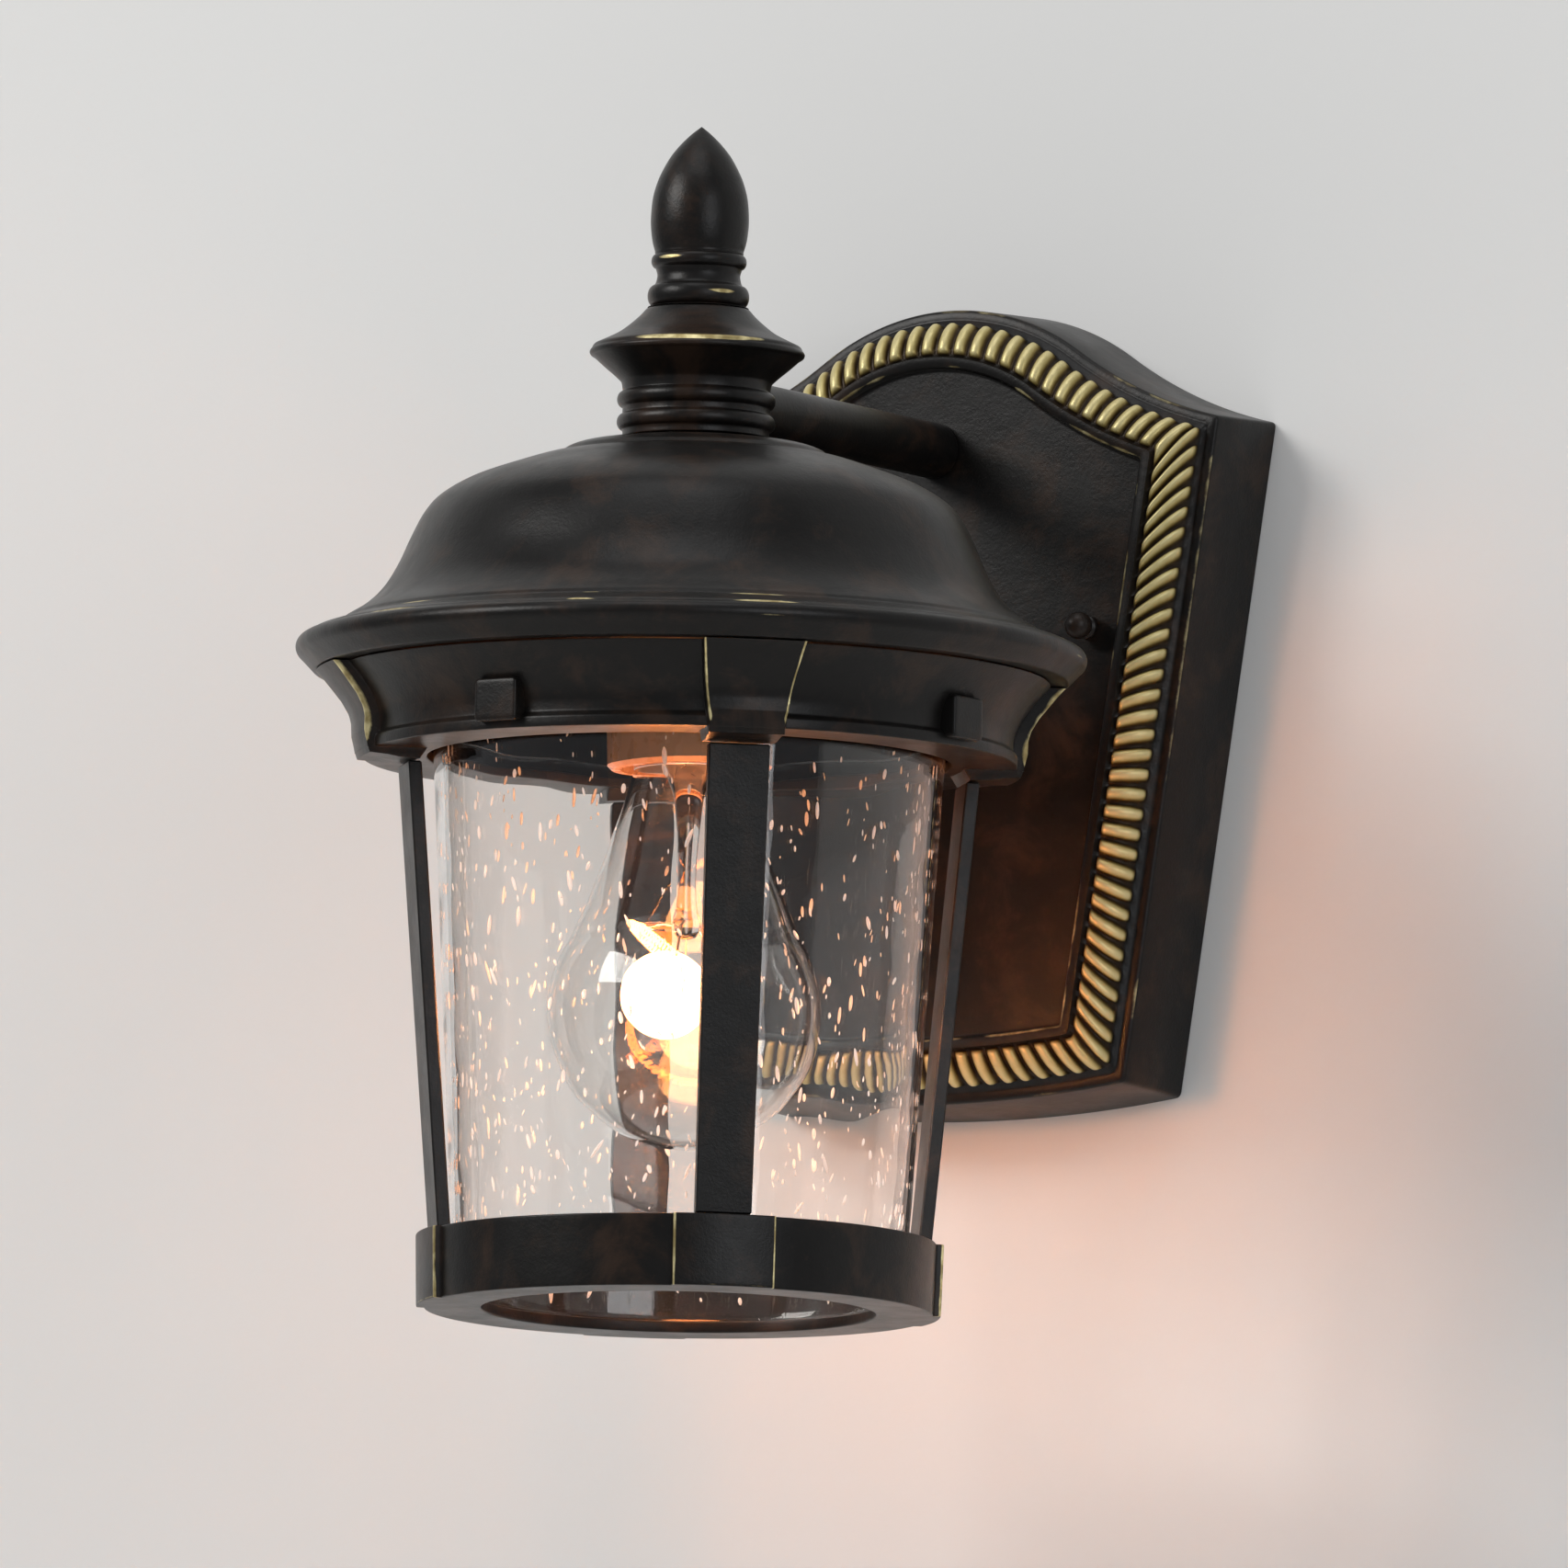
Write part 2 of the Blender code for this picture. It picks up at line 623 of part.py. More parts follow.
def make_arm():
    """A tube from the hub to the plate, turned down and threaded where it passes through the plate."""
    hub_end = reach - hub_chamber_radius - gap
    start = panel_front - arm_end_length
    profile = [(arm_bore_radius, hub_end), (arm_radius, hub_end), (arm_radius, panel_front + gap),
               (arm_end_radius, panel_front + gap), (arm_end_radius, start), (arm_bore_radius, start)]
    arm = turned("arm", profile, bronze)
    toward_room(arm, 0, arm_height - bar_height)
    washer_top = panel_front - plate_wall - gap
    washer = make_washer("arm_washer", arm_end_radius + gap, washer_radius, washer_top)
    toward_room(washer, 0, arm_height - bar_height)
    nut, bore = hex_nut("arm_locknut", locknut_flats, locknut_height, arm_end_radius + gap / 2, zinc,
                        washer_top - washer_thick - gap - locknut_height)
    toward_room(nut, 0, arm_height - bar_height)
    toward_room(bore, 0, arm_height - bar_height)
    return arm


def bead(radius, waist, height, half):
    """A rounded rib between two waists, as points down the outer side."""
    return [(waist + (radius - waist) * cos(a), height + half * sin(a))
            for a in (pi / 2 - pi * k / 4 for k in range(5))]


def make_hub():
    """Neck, skirt and cone in one casting, with a chamber that takes the tube from below and the arm."""
    rounded = 0.6 * mm
    cone = [(skirt_top_radius, skirt_top)]
    cone += [(skirt_top_radius + (skirt_radius - skirt_top_radius) * out,
              skirt_height + (skirt_top - skirt_height) * up) for out, up in cone_shape]
    cone += [(skirt_radius - rounded, skirt_height + skirt_rim / 2)]
    lower_edge = (skirt_radius - rounded, skirt_height - skirt_rim / 2)
    edge = [(skirt_radius, skirt_height), lower_edge]
    edge += along((hub_waist_radius, hub_neck_top), lower_edge, underside_shape)
    edge += [(hub_waist_radius, hub_neck_top)]
    neck = bead(hub_bead_radius, hub_waist_radius, hub_high_bead, bead_half)
    neck += bead(hub_bead_radius, hub_waist_radius, hub_low_bead, bead_half)
    tube_bore = tube_radius + gap / 2
    stud_bore = finial_stud_radius + gap / 2
    inside = [(hub_foot_radius, hub_foot), (tube_bore, hub_foot), (tube_bore, tube_top - 2 * mm),
              (hub_chamber_radius, tube_top - 2 * mm), (hub_chamber_radius, hub_chamber_top),
              (0, hub_chamber_top)]
    stud_floor = skirt_top - finial_stud_depth - gap
    top = [(0, stud_floor), (stud_bore, stud_floor), (stud_bore, skirt_top)]
    profile = top + cone + edge + neck + inside
    hub = turned("hub", profile, bronze, lantern_axis, steps=medium_steps, closed=False)
    bore = as_cutter(cylinder("hub_arm_bore", arm_radius + gap / 2, reach, 32), lantern_axis)
    bore.rotation_euler = (radians(-90), 0, 0)
    bore.location = (0, 0, arm_height)
    boolean(hub, bore)
    return hub


def make_finial():
    """An acorn on a necked foot with two beads, bored from below for the stud that holds it."""
    outline = [(0, finial_tip)] + along((0, acorn_belly), (acorn_radius, finial_tip), acorn_shape)
    outline += [(acorn_radius, acorn_belly)]
    outline += along((finial_crease_radius, finial_crease), (acorn_radius, acorn_belly), acorn_foot_shape)
    outline += [(finial_crease_radius, finial_crease)]
    outline += bead(finial_high_bead_radius, finial_waist_radius + 0.4 * mm, finial_high_bead,
                    finial_high_bead_half)
    outline += [(finial_waist_radius, finial_waist)]
    outline += bead(finial_low_bead_radius, finial_waist_radius + 0.8 * mm, finial_low_bead,
                    finial_low_bead_half)[:-1]
    outline += [(skirt_top_radius, finial_base)]
    bore = finial_stud_radius + gap / 2
    bore_end = finial_base + finial_stud_rise + gap
    outline += [(bore, finial_base), (bore, bore_end), (0, bore_end)]
    above_base = [(radius, height - finial_base) for radius, height in outline]
    finial = turned("finial", above_base, bronze, finial_axis, steps=medium_steps, closed=False)
    low = skirt_top - finial_stud_depth
    high = finial_base + finial_stud_rise
    stud = [(0, high), (finial_stud_radius, high), (finial_stud_radius, low), (0, low)]
    turned("finial_stud", stud, zinc, lantern_axis, steps=small_steps, closed=False)
    return finial


def roof_outline():
    """Outer side of the roof, from the hole at the top down to the lip's foot."""
    step_edge = (step_radius + 3.3 * mm, roof_top - 2.9 * mm)
    crease = (crease_radius, crease_height)
    step = [(tube_radius + gap, roof_top), (hub_foot_radius + 0.6 * mm, roof_top),
            (step_radius - 2.2 * mm, roof_top - 0.9 * mm), step_edge]
    dome = [(step_edge[0] + (crease_radius - step_edge[0]) * out,
             crease_height + (step_edge[1] - crease_height) * up) for out, up in dome_shape]
    brim = [crease, (crease_radius + 0.9 * mm, crease_height - 0.9 * mm),
            (lip_radius - 5.6 * mm, lip_height + 4.0 * mm), (lip_radius - 2.4 * mm, lip_height + 2.9 * mm),
            (lip_radius - 0.6 * mm, lip_height + 1.4 * mm), (lip_radius, lip_height),
            (lip_radius - 0.9 * mm, lip_height - 2.0 * mm), (lip_foot_radius, lip_foot)]
    return step + dome + brim


def make_roof():
    outer = roof_outline()
    inner = [(max(r, tube_radius + gap), z) for r, z in inner_offset(outer[:-3], roof_wall)]
    inner[0] = (tube_radius + gap, roof_top - roof_wall)
    inner[1] = (hub_foot_radius, roof_top - roof_wall)
    rim_inner = lip_foot_radius - 2.2 * roof_wall
    profile = outer + [(rim_inner, lip_foot)] + list(reversed(inner[:-3]))
    roof = turned("roof", profile, bronze, lantern_axis, steps=large_steps)
    for k in range(4):
        angle = cage_turn + k * quarter
        x, y = cage_screw_place * sin(angle), -cage_screw_place * cos(angle)
        hole_end = lug_top - lug_cover
        lug = as_cutter(cylinder("roof_lug_%d" % (k + 1), lug_radius, lug_top - lip_foot, 16), lantern_axis)
        lug.location = (x, y, lip_foot)
        boolean(roof, lug, "UNION")
        hole = as_cutter(cylinder("roof_lug_hole_%d" % (k + 1), cage_screw_radius + gap,
                                  hole_end - lip_foot + 2 * mm, 12), lantern_axis)
        hole.location = (x, y, lip_foot - 2 * mm)
        boolean(roof, hole)
    return roof


def make_tube():
    profile = [(tube_bore_radius, tube_top), (tube_radius, tube_top), (tube_radius, tube_foot),
               (tube_bore_radius, tube_foot)]
    turned("threaded_tube", profile, zinc, lantern_axis, steps=small_steps)
    washer_top = roof_top - roof_wall - gap
    make_washer("roof_washer", tube_radius + gap, roof_washer_radius, washer_top, lantern_axis)
    nut, hole = hex_nut("roof_nut", roof_nut_flats, roof_nut_height, tube_radius + gap / 2, zinc,
                        washer_top - washer_thick - gap - roof_nut_height)
    nut.parent = lantern_axis
    hole.parent = lantern_axis


def cove(offset=0.0, top=lip_foot - gap):
    """The collar's hollow outer side, from top to foot, moved outwards by offset."""
    low = cove_foot + cove_plinth
    curve = [(cove_foot_radius + cove_width * rise ** cove_power, low + (top - low) * rise) for rise in cove_rises]
    return [(r + offset, z) for r, z in curve + [(cove_foot_radius, cove_foot + 1.0 * mm)]]


def wedge(name, foot_width, top_width, low, high, length, angle):
    """A block along -Y whose sides lean, so that it is wider at the top; it starts at the axis."""
    bm = bmesh.new()
    bmesh.ops.create_cube(bm, size=1.0)
    for vert in bm.verts:
        upper = vert.co.z > 0
        width = top_width if upper else foot_width
        vert.co = Vector((vert.co.x * width, (vert.co.y - 0.5) * length, high if upper else low))
    tool = mesh_object(name, bm)
    tool.rotation_euler = (0, 0, angle)
    return tool


def make_collar():
    top = lip_foot - gap
    foot_inner = glass_radius_at(collar_foot) + collar_play
    outer = cove() + [(collar_lip_radius, cove_foot - 0.3 * mm), (collar_lip_radius, collar_foot + 0.5 * mm),
                      (collar_lip_radius - 0.6 * mm, collar_foot)]
    floor_top = collar_foot + collar_floor
    inner_wall = [(r - collar_wall, z) for r, z in cove() if z > floor_top + 1 * mm]
    profile = outer + [(foot_inner, collar_foot), (foot_inner, floor_top),
                       (inner_wall[-1][0] - 0.4 * mm, floor_top)] + list(reversed(inner_wall))
    collar = turned("collar", profile, bronze, lantern_axis, steps=large_steps)
    band_radius = cove_foot_radius + band_out
    band_outer = cove(band_out) + [(band_radius - 0.7 * mm, band_foot + 2.6 * mm),
                                   (band_radius - 3.0 * mm, band_foot + 1.0 * mm),
                                   (band_radius - 8.1 * mm, band_foot)]
    inner_band = [(r - collar_wall / 2, z) for r, z in cove() if z > floor_top + 1 * mm]
    band_profile = band_outer + [(band_foot_inner, band_foot), (band_foot_inner, floor_top - 0.6 * mm),
                                 (inner_band[-1][0], floor_top - 0.6 * mm)] + list(reversed(inner_band))
    for k in range(4):
        angle = cage_turn + k * quarter
        label = "_%d" % (k + 1)
        band_ring = screw_object("band_ring" + label, band_profile, large_steps, True)
        as_cutter(band_ring, lantern_axis)
        sides = wedge("band_sides" + label, band_foot_width, band_top_width, band_foot - mm, top + mm,
                      collar_lip_radius + 40 * mm, angle)
        keep = as_cutter(sides, lantern_axis)
        boolean(band_ring, keep, "INTERSECT")
        boolean(collar, band_ring, "UNION")
        hole = as_cutter(cylinder("collar_screw_hole" + label, cage_screw_radius + cage_screw_clearance,
                                  top - band_foot + 8 * mm, 16), lantern_axis)
        hole.location = (cage_screw_place * sin(angle), -cage_screw_place * cos(angle), band_foot - 4 * mm)
        boolean(collar, hole)
        sink = as_cutter(cylinder("collar_screw_sink" + label, cage_screw_head + cage_screw_clearance,
                                  4 * mm + cage_screw_seat + gap - band_foot, 16), lantern_axis)
        sink.location = (hole.location.x, hole.location.y, band_foot - 4 * mm)
        boolean(collar, sink)
        boss_angle = angle + quarter / 2
        boss_front = cove_foot_radius + boss_out
        boss_back = cove_foot_radius - 1.5 * mm
        boss = block("boss" + label, (boss_width, boss_front - boss_back, boss_height))
        as_cutter(boss, lantern_axis)
        middle = (boss_front + boss_back) / 2
        boss.location = (middle * sin(boss_angle), -middle * cos(boss_angle),
                         cove_foot - boss_drop + boss_height / 2)
        boss.rotation_euler = (0, 0, boss_angle)
        boolean(collar, boss, "UNION")
    return collar


def make_posts():
    """Four flat straps that lean outwards, from the bottom ring up to the collar's bands."""
    for k in range(4):
        bm = bmesh.new()
        bmesh.ops.create_cube(bm, size=1.0)
        for vert in bm.verts:
            upper = vert.co.z > 0
            width = post_top_width if upper else post_foot_width
            outer = post_top_radius if upper else post_foot_radius
            height = post_high if upper else post_low
            vert.co = Vector((vert.co.x * width, -(outer - (0.5 + vert.co.y) * post_thick), height))
        post = mesh_object("post_%d" % (k + 1), bm)
        post.rotation_euler = (0, 0, cage_turn + k * quarter)
        bevel = post.modifiers.new("rounded_edges", "BEVEL")
        bevel.width = 0.35 * mm
        bevel.segments = 1
        finish(post, bronze, lantern_axis, smooth_angle=None)


def make_bottom_ring():
    inner = ring_radius - ring_wall
    rounded = 0.5 * mm
    outside = [(inner, ring_height), (ring_radius - rounded, ring_height),
               (ring_radius, ring_height - rounded), (ring_foot_radius, rounded), (ring_foot_radius - rounded, 0)]
    inside = [(ring_opening + rounded, 0), (ring_opening, rounded), (ring_opening, ring_floor),
              (inner - 0.4 * mm, ring_floor)]
    profile = outside + inside
    ring = turned("bottom_ring", profile, bronze, lantern_axis, steps=large_steps)
    pad_top, pad_foot = ring_radius + pad_out, ring_foot_radius + pad_out
    pad_profile = [(inner + 1 * mm, ring_height - rounded), (pad_top - rounded, ring_height - rounded),
                   (pad_top, ring_height - 2 * rounded), (pad_foot, 2 * rounded),
                   (pad_foot - rounded, rounded), (inner + 1 * mm, rounded)]
    for k in range(4):
        label = "_%d" % (k + 1)
        pad = as_cutter(screw_object("pad_ring" + label, pad_profile, large_steps, True), lantern_axis)
        keep = as_cutter(wedge("pad_sides" + label, pad_width, pad_width, -5 * mm, ring_height + 5 * mm,
                               ring_radius + 20 * mm, cage_turn + k * quarter), lantern_axis)
        boolean(pad, keep, "INTERSECT")
        boolean(ring, pad, "UNION")
    return ring


def make_cage_screws():
    for k in range(4):
        angle = cage_turn + k * quarter
        profile = [(0, cage_screw_length), (cage_screw_radius * 0.6, cage_screw_length),
                   (cage_screw_radius, cage_screw_length - 1 * mm), (cage_screw_radius, 0),
                   (cage_screw_head, 0), (cage_screw_head, -cage_screw_head_height * 0.6),
                   (cage_screw_head * 0.7, -cage_screw_head_height), (0, -cage_screw_head_height)]
        screw = turned("cage_screw_%d" % (k + 1), profile, bronze, lantern_axis, steps=12, closed=False)
        screw.location = (cage_screw_place * sin(angle), -cage_screw_place * cos(angle), cage_screw_seat)


def make_glass():
    foot = glass_foot
    rounded = 0.8 * mm
    levels = [glass_top - rounded, 0.75 * glass_top, 0.5 * glass_top, 0.25 * glass_top, foot + rounded]
    outside = [(glass_radius_at(z), z) for z in levels]
    inside = [(glass_radius_at(z) - glass_wall, z) for z in levels]
    top = [(glass_radius_at(glass_top) - rounded, glass_top),
           (glass_radius_at(glass_top) - glass_wall + rounded, glass_top)]
    bottom = [(glass_radius_at(foot) - rounded, foot), (glass_radius_at(foot) - glass_wall + rounded, foot)]
    profile = [top[1], top[0]] + outside + bottom + list(reversed(inside))
    return turned("glass_shade", profile, clear_glass, lantern_axis, steps=large_steps)


def make_socket():
    cavity_top = bulb_top + 2.0 * mm
    profile = [(0, socket_top), (socket_radius - 1 * mm, socket_top), (socket_radius, socket_top - 1 * mm),
               (socket_radius, socket_rim + 1 * mm), (socket_radius - 1 * mm, socket_rim),
               (socket_bore_radius, socket_rim), (socket_bore_radius, cavity_top), (0, cavity_top)]
    body = turned("socket_body", profile, porcelain, lantern_axis, steps=medium_steps, closed=False)
    for side, label in ((-1, "left"), (1, "right")):
        way = as_cutter(cylinder("socket_wire_way_" + label, 1.6 * mm, 20 * mm, 12), lantern_axis)
        way.location = (side * 8 * mm, 0, cavity_top - 2 * mm)
        boolean(body, way)
    shell_outer = socket_bore_radius - gap
    shell_low = socket_rim + 2.4 * mm
    shell_high = cavity_top - gap
    turned("socket_shell", [(shell_outer - shell_wall, shell_high), (shell_outer, shell_high),
                            (shell_outer, shell_low), (shell_outer - shell_wall, shell_low)],
           brass, lantern_axis)
    contact = [(0, cavity_top - gap), (5.5 * mm, cavity_top - gap), (5.5 * mm, bulb_top + 1.2 * mm),
               (3.0 * mm, bulb_top + gap), (0, bulb_top + gap)]
    turned("socket_contact", contact, brass, lantern_axis, steps=small_steps, closed=False)
    low = socket_top + gap
    high = low + socket_cap_height
    wall = 1.2 * mm
    bore = tube_radius + gap / 2
    cap = [(bore, high), (socket_radius - 6 * mm, high), (socket_radius - 1 * mm, low + 2 * mm),
           (socket_radius - 1 * mm, low), (socket_radius - 1 * mm - wall, low),
           (socket_radius - 1 * mm - wall, low + 1.5 * mm), (socket_radius - 6.5 * mm, high - wall),
           (bore, high - wall)]
    turned("socket_cap", cap, zinc, lantern_axis)


def bulb_outline():
    """Outer side of the bulb's glass, from the open neck down to the round bottom, above its bottom."""
    centre = bulb_radius
    ball_end = radians(33)
    ball = arc((0, centre), bulb_radius, ball_end, -pi / 2, 9)
    neck_top = base_foot + 3.5 * mm - bulb_bottom
    shoulder_height = ball[0][1]
    flare = [(bulb_neck_radius, neck_top), (bulb_neck_radius, base_foot - bulb_bottom)]
    flare += [(bulb_neck_radius + (ball[0][0] - bulb_neck_radius) * out,
               shoulder_height + (neck_top - shoulder_height) * up) for out, up in flare_shape]
    return flare + ball


def make_bulb():
    outer = bulb_outline()
    inner = [(r - bulb_wall, z) for r, z in outer if z > bulb_radius]
    inner += arc((0, bulb_radius), bulb_radius - bulb_wall, 0, -pi / 2, 6)
    outer[-1] = (0, 0)
    inner[-1] = (0, bulb_wall)
    wall = list(reversed(inner)) + outer
    turned("bulb_glass", wall, clear_glass, bulb_axis, steps=medium_steps, closed=False)
    low, high = base_foot - bulb_bottom, base_top - bulb_bottom
    thin = bulb_base_wall
    crown = bulb_base_radius - 3 * mm
    hole = bulb_neck_radius * 0.55
    base = [(hole, high), (crown, high), (bulb_base_radius, high - 3 * mm), (bulb_base_radius, low),
            (bulb_base_radius - thin, low), (bulb_base_radius - thin, high - 3 * mm),
            (crown - 0.2 * mm, high - thin), (hole, high - thin)]
    turned("bulb_base", base, aluminium, bulb_axis)
    tip = high + bulb_tip_length
    plug_top, plug_hole = tip - 1.6 * mm, bulb_neck_radius * 0.5
    plug = [(0, plug_top), (4.6 * mm, plug_top), (bulb_base_radius - 4 * mm, high + gap),
            (plug_hole, high + gap), (plug_hole, high - 3 * mm), (0, high - 3 * mm)]
    turned("bulb_insulator", plug, black_glass, bulb_axis, steps=small_steps, closed=False)
    contact = [(0, tip), (3.2 * mm, tip - 0.3 * mm), (4.2 * mm, plug_top + gap), (0, plug_top + gap)]
    turned("bulb_contact", contact, brass, bulb_axis, steps=small_steps, closed=False)
    stem_foot = filament_above_bottom + 12 * mm
    stem_top = high - 4 * mm
    stem = [(0, stem_top), (5.0 * mm, stem_top), (5.4 * mm, low + 4 * mm), (3.4 * mm, low - 6 * mm),
            (2.2 * mm, stem_foot + 8 * mm), (3.0 * mm, stem_foot + 3 * mm), (2.0 * mm, stem_foot),
            (0, stem_foot)]
    turned("bulb_stem", stem, clear_glass, bulb_axis, steps=small_steps, closed=False)


def make_tube_curve(name, points, radius, material, parent=None):
    curve = bpy.data.curves.new(name, "CURVE")
    curve.dimensions = "3D"
    curve.bevel_depth = radius
    curve.bevel_resolution = 2
    curve.render_resolution_u = 0
    curve.use_fill_caps = True
    spline = curve.splines.new("POLY")
    spline.points.add(len(points) - 1)
    for point, place in zip(spline.points, points):
        point.co = (*place, 1.0)
    obj = bpy.data.objects.new(name, curve)
    return finish(obj, material, parent, smooth_angle=None)


def make_filament():
    """A horseshoe of coiled wire round the stem's foot, with its two lead-in wires."""
    height = filament_above_bottom
    rise = 10 * mm
    sweep = [radians(-70) - radians(220) * k / 14 for k in range(15)]
    loop = [(filament_radius * cos(a), filament_radius * sin(a), height) for a in sweep]
    start = (loop[0][0] * 0.45, loop[0][1] * 0.45, height + rise + 8 * mm)
    end = (loop[-1][0] * 0.45, loop[-1][1] * 0.45, height + rise + 8 * mm)
    make_tube_curve("bulb_filament", [start] + loop + [end], filament_wire, tungsten, bulb_axis)


def make_leads():
    """Two leads from the socket cap up the tube, along the arm and down inside the plate."""
    arm_end = panel_front - arm_end_length
    for side, label, sleeve in ((-1, "black", black_sleeve), (1, "white", white_sleeve)):
        x = side * lead_spread
        bend = arm_height - bar_height
        axis = -reach
        up_tube = [(x, axis, tube_foot - bar_height + 1 * mm), (x, axis, tube_foot - bar_height + 12 * mm),
                   (x, axis, tube_top - bar_height - 6 * mm)]
        bend_over = [(x, axis + 0.3 * mm, bend - 2.6 * mm), (x, axis + 3.4 * mm, bend - 0.2 * mm),
                     (x, axis + 12 * mm, bend)]
        along_arm = [(x, -arm_end - back, bend) for back in (60 * mm, 20 * mm, 3 * mm)]
        tail = [(x * 1.6, -arm_end + 4 * mm, bend - 1.4 * mm), (x * 3.5, -arm_end + 8.5 * mm, bend - 8 * mm),
                (x * 6, -arm_end + 9.5 * mm, bend - 17 * mm), (x * 8, -arm_end + 9.5 * mm, bend - lead_tail)]
        route = up_tube + bend_over + along_arm + tail
        make_tube_curve("lead_" + label, route, lead_radius, sleeve)


make_backplate()
make_crossbar()
make_ground_screw()
for side, label in ((-1, "left"), (1, "right")):
    make_stud(side, label)
    make_cap_nut(side, label)
make_arm()
make_hub()
make_finial()
make_roof()
make_tube()
make_collar()
make_posts()
make_bottom_ring()
make_cage_screws()
make_glass()
make_socket()
make_bulb()
make_filament()
make_leads()
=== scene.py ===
import math

import bmesh
import bpy
import numpy as np
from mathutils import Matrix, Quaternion, Vector


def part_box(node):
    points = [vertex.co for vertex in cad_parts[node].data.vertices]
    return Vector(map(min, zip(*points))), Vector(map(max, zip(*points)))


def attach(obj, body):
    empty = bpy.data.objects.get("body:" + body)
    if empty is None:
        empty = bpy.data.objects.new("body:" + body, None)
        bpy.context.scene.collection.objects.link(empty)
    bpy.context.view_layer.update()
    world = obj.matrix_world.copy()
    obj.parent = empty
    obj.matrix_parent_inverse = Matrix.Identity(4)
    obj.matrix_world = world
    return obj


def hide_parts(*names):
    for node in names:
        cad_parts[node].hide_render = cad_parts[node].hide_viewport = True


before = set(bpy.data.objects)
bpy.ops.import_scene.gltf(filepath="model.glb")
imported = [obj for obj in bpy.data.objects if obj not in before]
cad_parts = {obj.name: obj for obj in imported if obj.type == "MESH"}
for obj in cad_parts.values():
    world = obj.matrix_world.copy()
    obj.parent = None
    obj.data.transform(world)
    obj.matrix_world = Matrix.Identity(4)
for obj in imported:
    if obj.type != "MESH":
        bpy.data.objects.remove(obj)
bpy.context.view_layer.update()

mm = 0.001
tau = 2 * np.pi

ringLow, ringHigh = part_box("bottom_ring")
axisX = 0.5 * (ringLow.x + ringHigh.x)
axisY = 0.5 * (ringLow.y + ringHigh.y)
footZ = ringLow.z                        # bottom of the lantern; turned pieces count their heights from here
cageTurn = math.radians(40)              # first post, from -Y towards +X
print("frame read: axis", round(axisY, 4), "foot", round(footZ, 4))


def onCircle(radius, angle):
    # the place at a radius and an angle round the lantern's axis
    return axisX + radius * math.cos(angle), axisY + radius * math.sin(angle)


def postAngle(number):
    # angle round the axis, from +X counter-clockwise, of a post counted from the first one
    return cageTurn - math.pi / 2 + number * math.pi / 2


def curveThrough(points, steps=12):
    # Catmull-Rom: each stretch is a cubic whose end slopes are half the step between its neighbours
    p = np.asarray(points, float)
    ends = np.vstack([2 * p[0] - p[1], p, 2 * p[-1] - p[-2]])
    p0, p1, p2, p3 = (ends[k:k + len(p) - 1, None] for k in range(4))
    t = np.linspace(0, 1, steps, endpoint=False)[None, :, None]
    body = 0.5 * (2 * p1 + (p2 - p0) * t + (2 * p0 - 5 * p1 + 4 * p2 - p3) * t ** 2
                  + (3 * p1 - 3 * p2 + p3 - p0) * t ** 3)
    return np.vstack([body.reshape(-1, p.shape[1]), p[-1:]])


def arcPoints(centre, radii, start, end, steps=16):
    # ellipse arc: centre plus radii times the cosine and sine of the angle, in degrees
    a = np.radians(np.linspace(start, end, steps + 1))
    return np.column_stack([centre[0] + radii[0] * np.cos(a), centre[1] + radii[1] * np.sin(a)])


def lengthAlong(points):
    # distance run along a line, at each of its points
    return np.append(0, np.cumsum(np.linalg.norm(np.diff(points, axis=0), axis=1)))


def resample(at, run, points):
    # points at given distances along a line whose own points lie at the distances run
    return np.column_stack([np.interp(at, run, points[:, k]) for k in range(points.shape[1])])


def bellWeights(width, spacing):
    # weights of a bell: e to the minus half the square of distance over width, out to four widths each way
    reach = int(4 * width / spacing) + 1
    bell = np.exp(-0.5 * (np.arange(-reach, reach + 1) * spacing / width) ** 2)
    return bell / bell.sum()


def blurLine(fine, bell, closed):
    # each point becomes the weighted mean of its neighbours; an open line is mirrored past its ends
    reach = len(bell) // 2
    if closed:
        before, after = fine[-reach:], fine[:reach]
    else:
        before, after = 2 * fine[0] - fine[1:reach + 1][::-1], 2 * fine[-1] - fine[-reach - 1:-1][::-1]
    wide = np.vstack([before, fine, after])
    return np.column_stack([np.convolve(wide[:, k], bell, "valid") for k in range(wide.shape[1])])


def softProfile(corners, soften, rows, closed=False, crowd=1.0):
    # a line through the corners, blurred along its length by a bell of width soften so that each corner turns
    # on a small radius, then cut into rows that stand closer where it bends; crowd is how much closer
    perBell, fewest, tiny = 4, 200, 1e-9
    p = np.asarray(corners, float)
    if closed:
        p = np.vstack([p, p[:1]])
    p = p[np.append(True, np.linalg.norm(np.diff(p, axis=0), axis=1) > tiny)]
    run = lengthAlong(p)
    count = max(int(run[-1] / (soften / perBell)), fewest)
    fine = resample(np.linspace(0, run[-1], count, endpoint=not closed), run, p)
    soft = blurLine(fine, bellWeights(soften, run[-1] / count), closed)
    if closed:
        soft = np.vstack([soft, soft[:1]])
    step = np.diff(soft, axis=0)
    length = np.linalg.norm(step, axis=1)
    bend = np.abs(np.gradient(np.unwrap(np.arctan2(step[:, 1], step[:, 0]))))
    place = np.append(0, np.cumsum(length / length.sum() + crowd * bend / max(bend.sum(), tiny)))
    return resample(np.linspace(0, place[-1], rows, endpoint=not closed), place, soft)


def closePoles(profile):
    # the first and last points put on the axis
    profile[0, 0] = profile[-1, 0] = 0
    return profile


def moveInward(outline, wall):
    # each point moved by the wall along the normal of its neighbours' chord, to the left of the way down
    p = np.asarray(outline, float)
    chord = np.gradient(p, axis=0)
    chord /= np.linalg.norm(chord, axis=1)[:, None]
    return p + wall * np.column_stack([chord[:, 1], -chord[:, 0]])


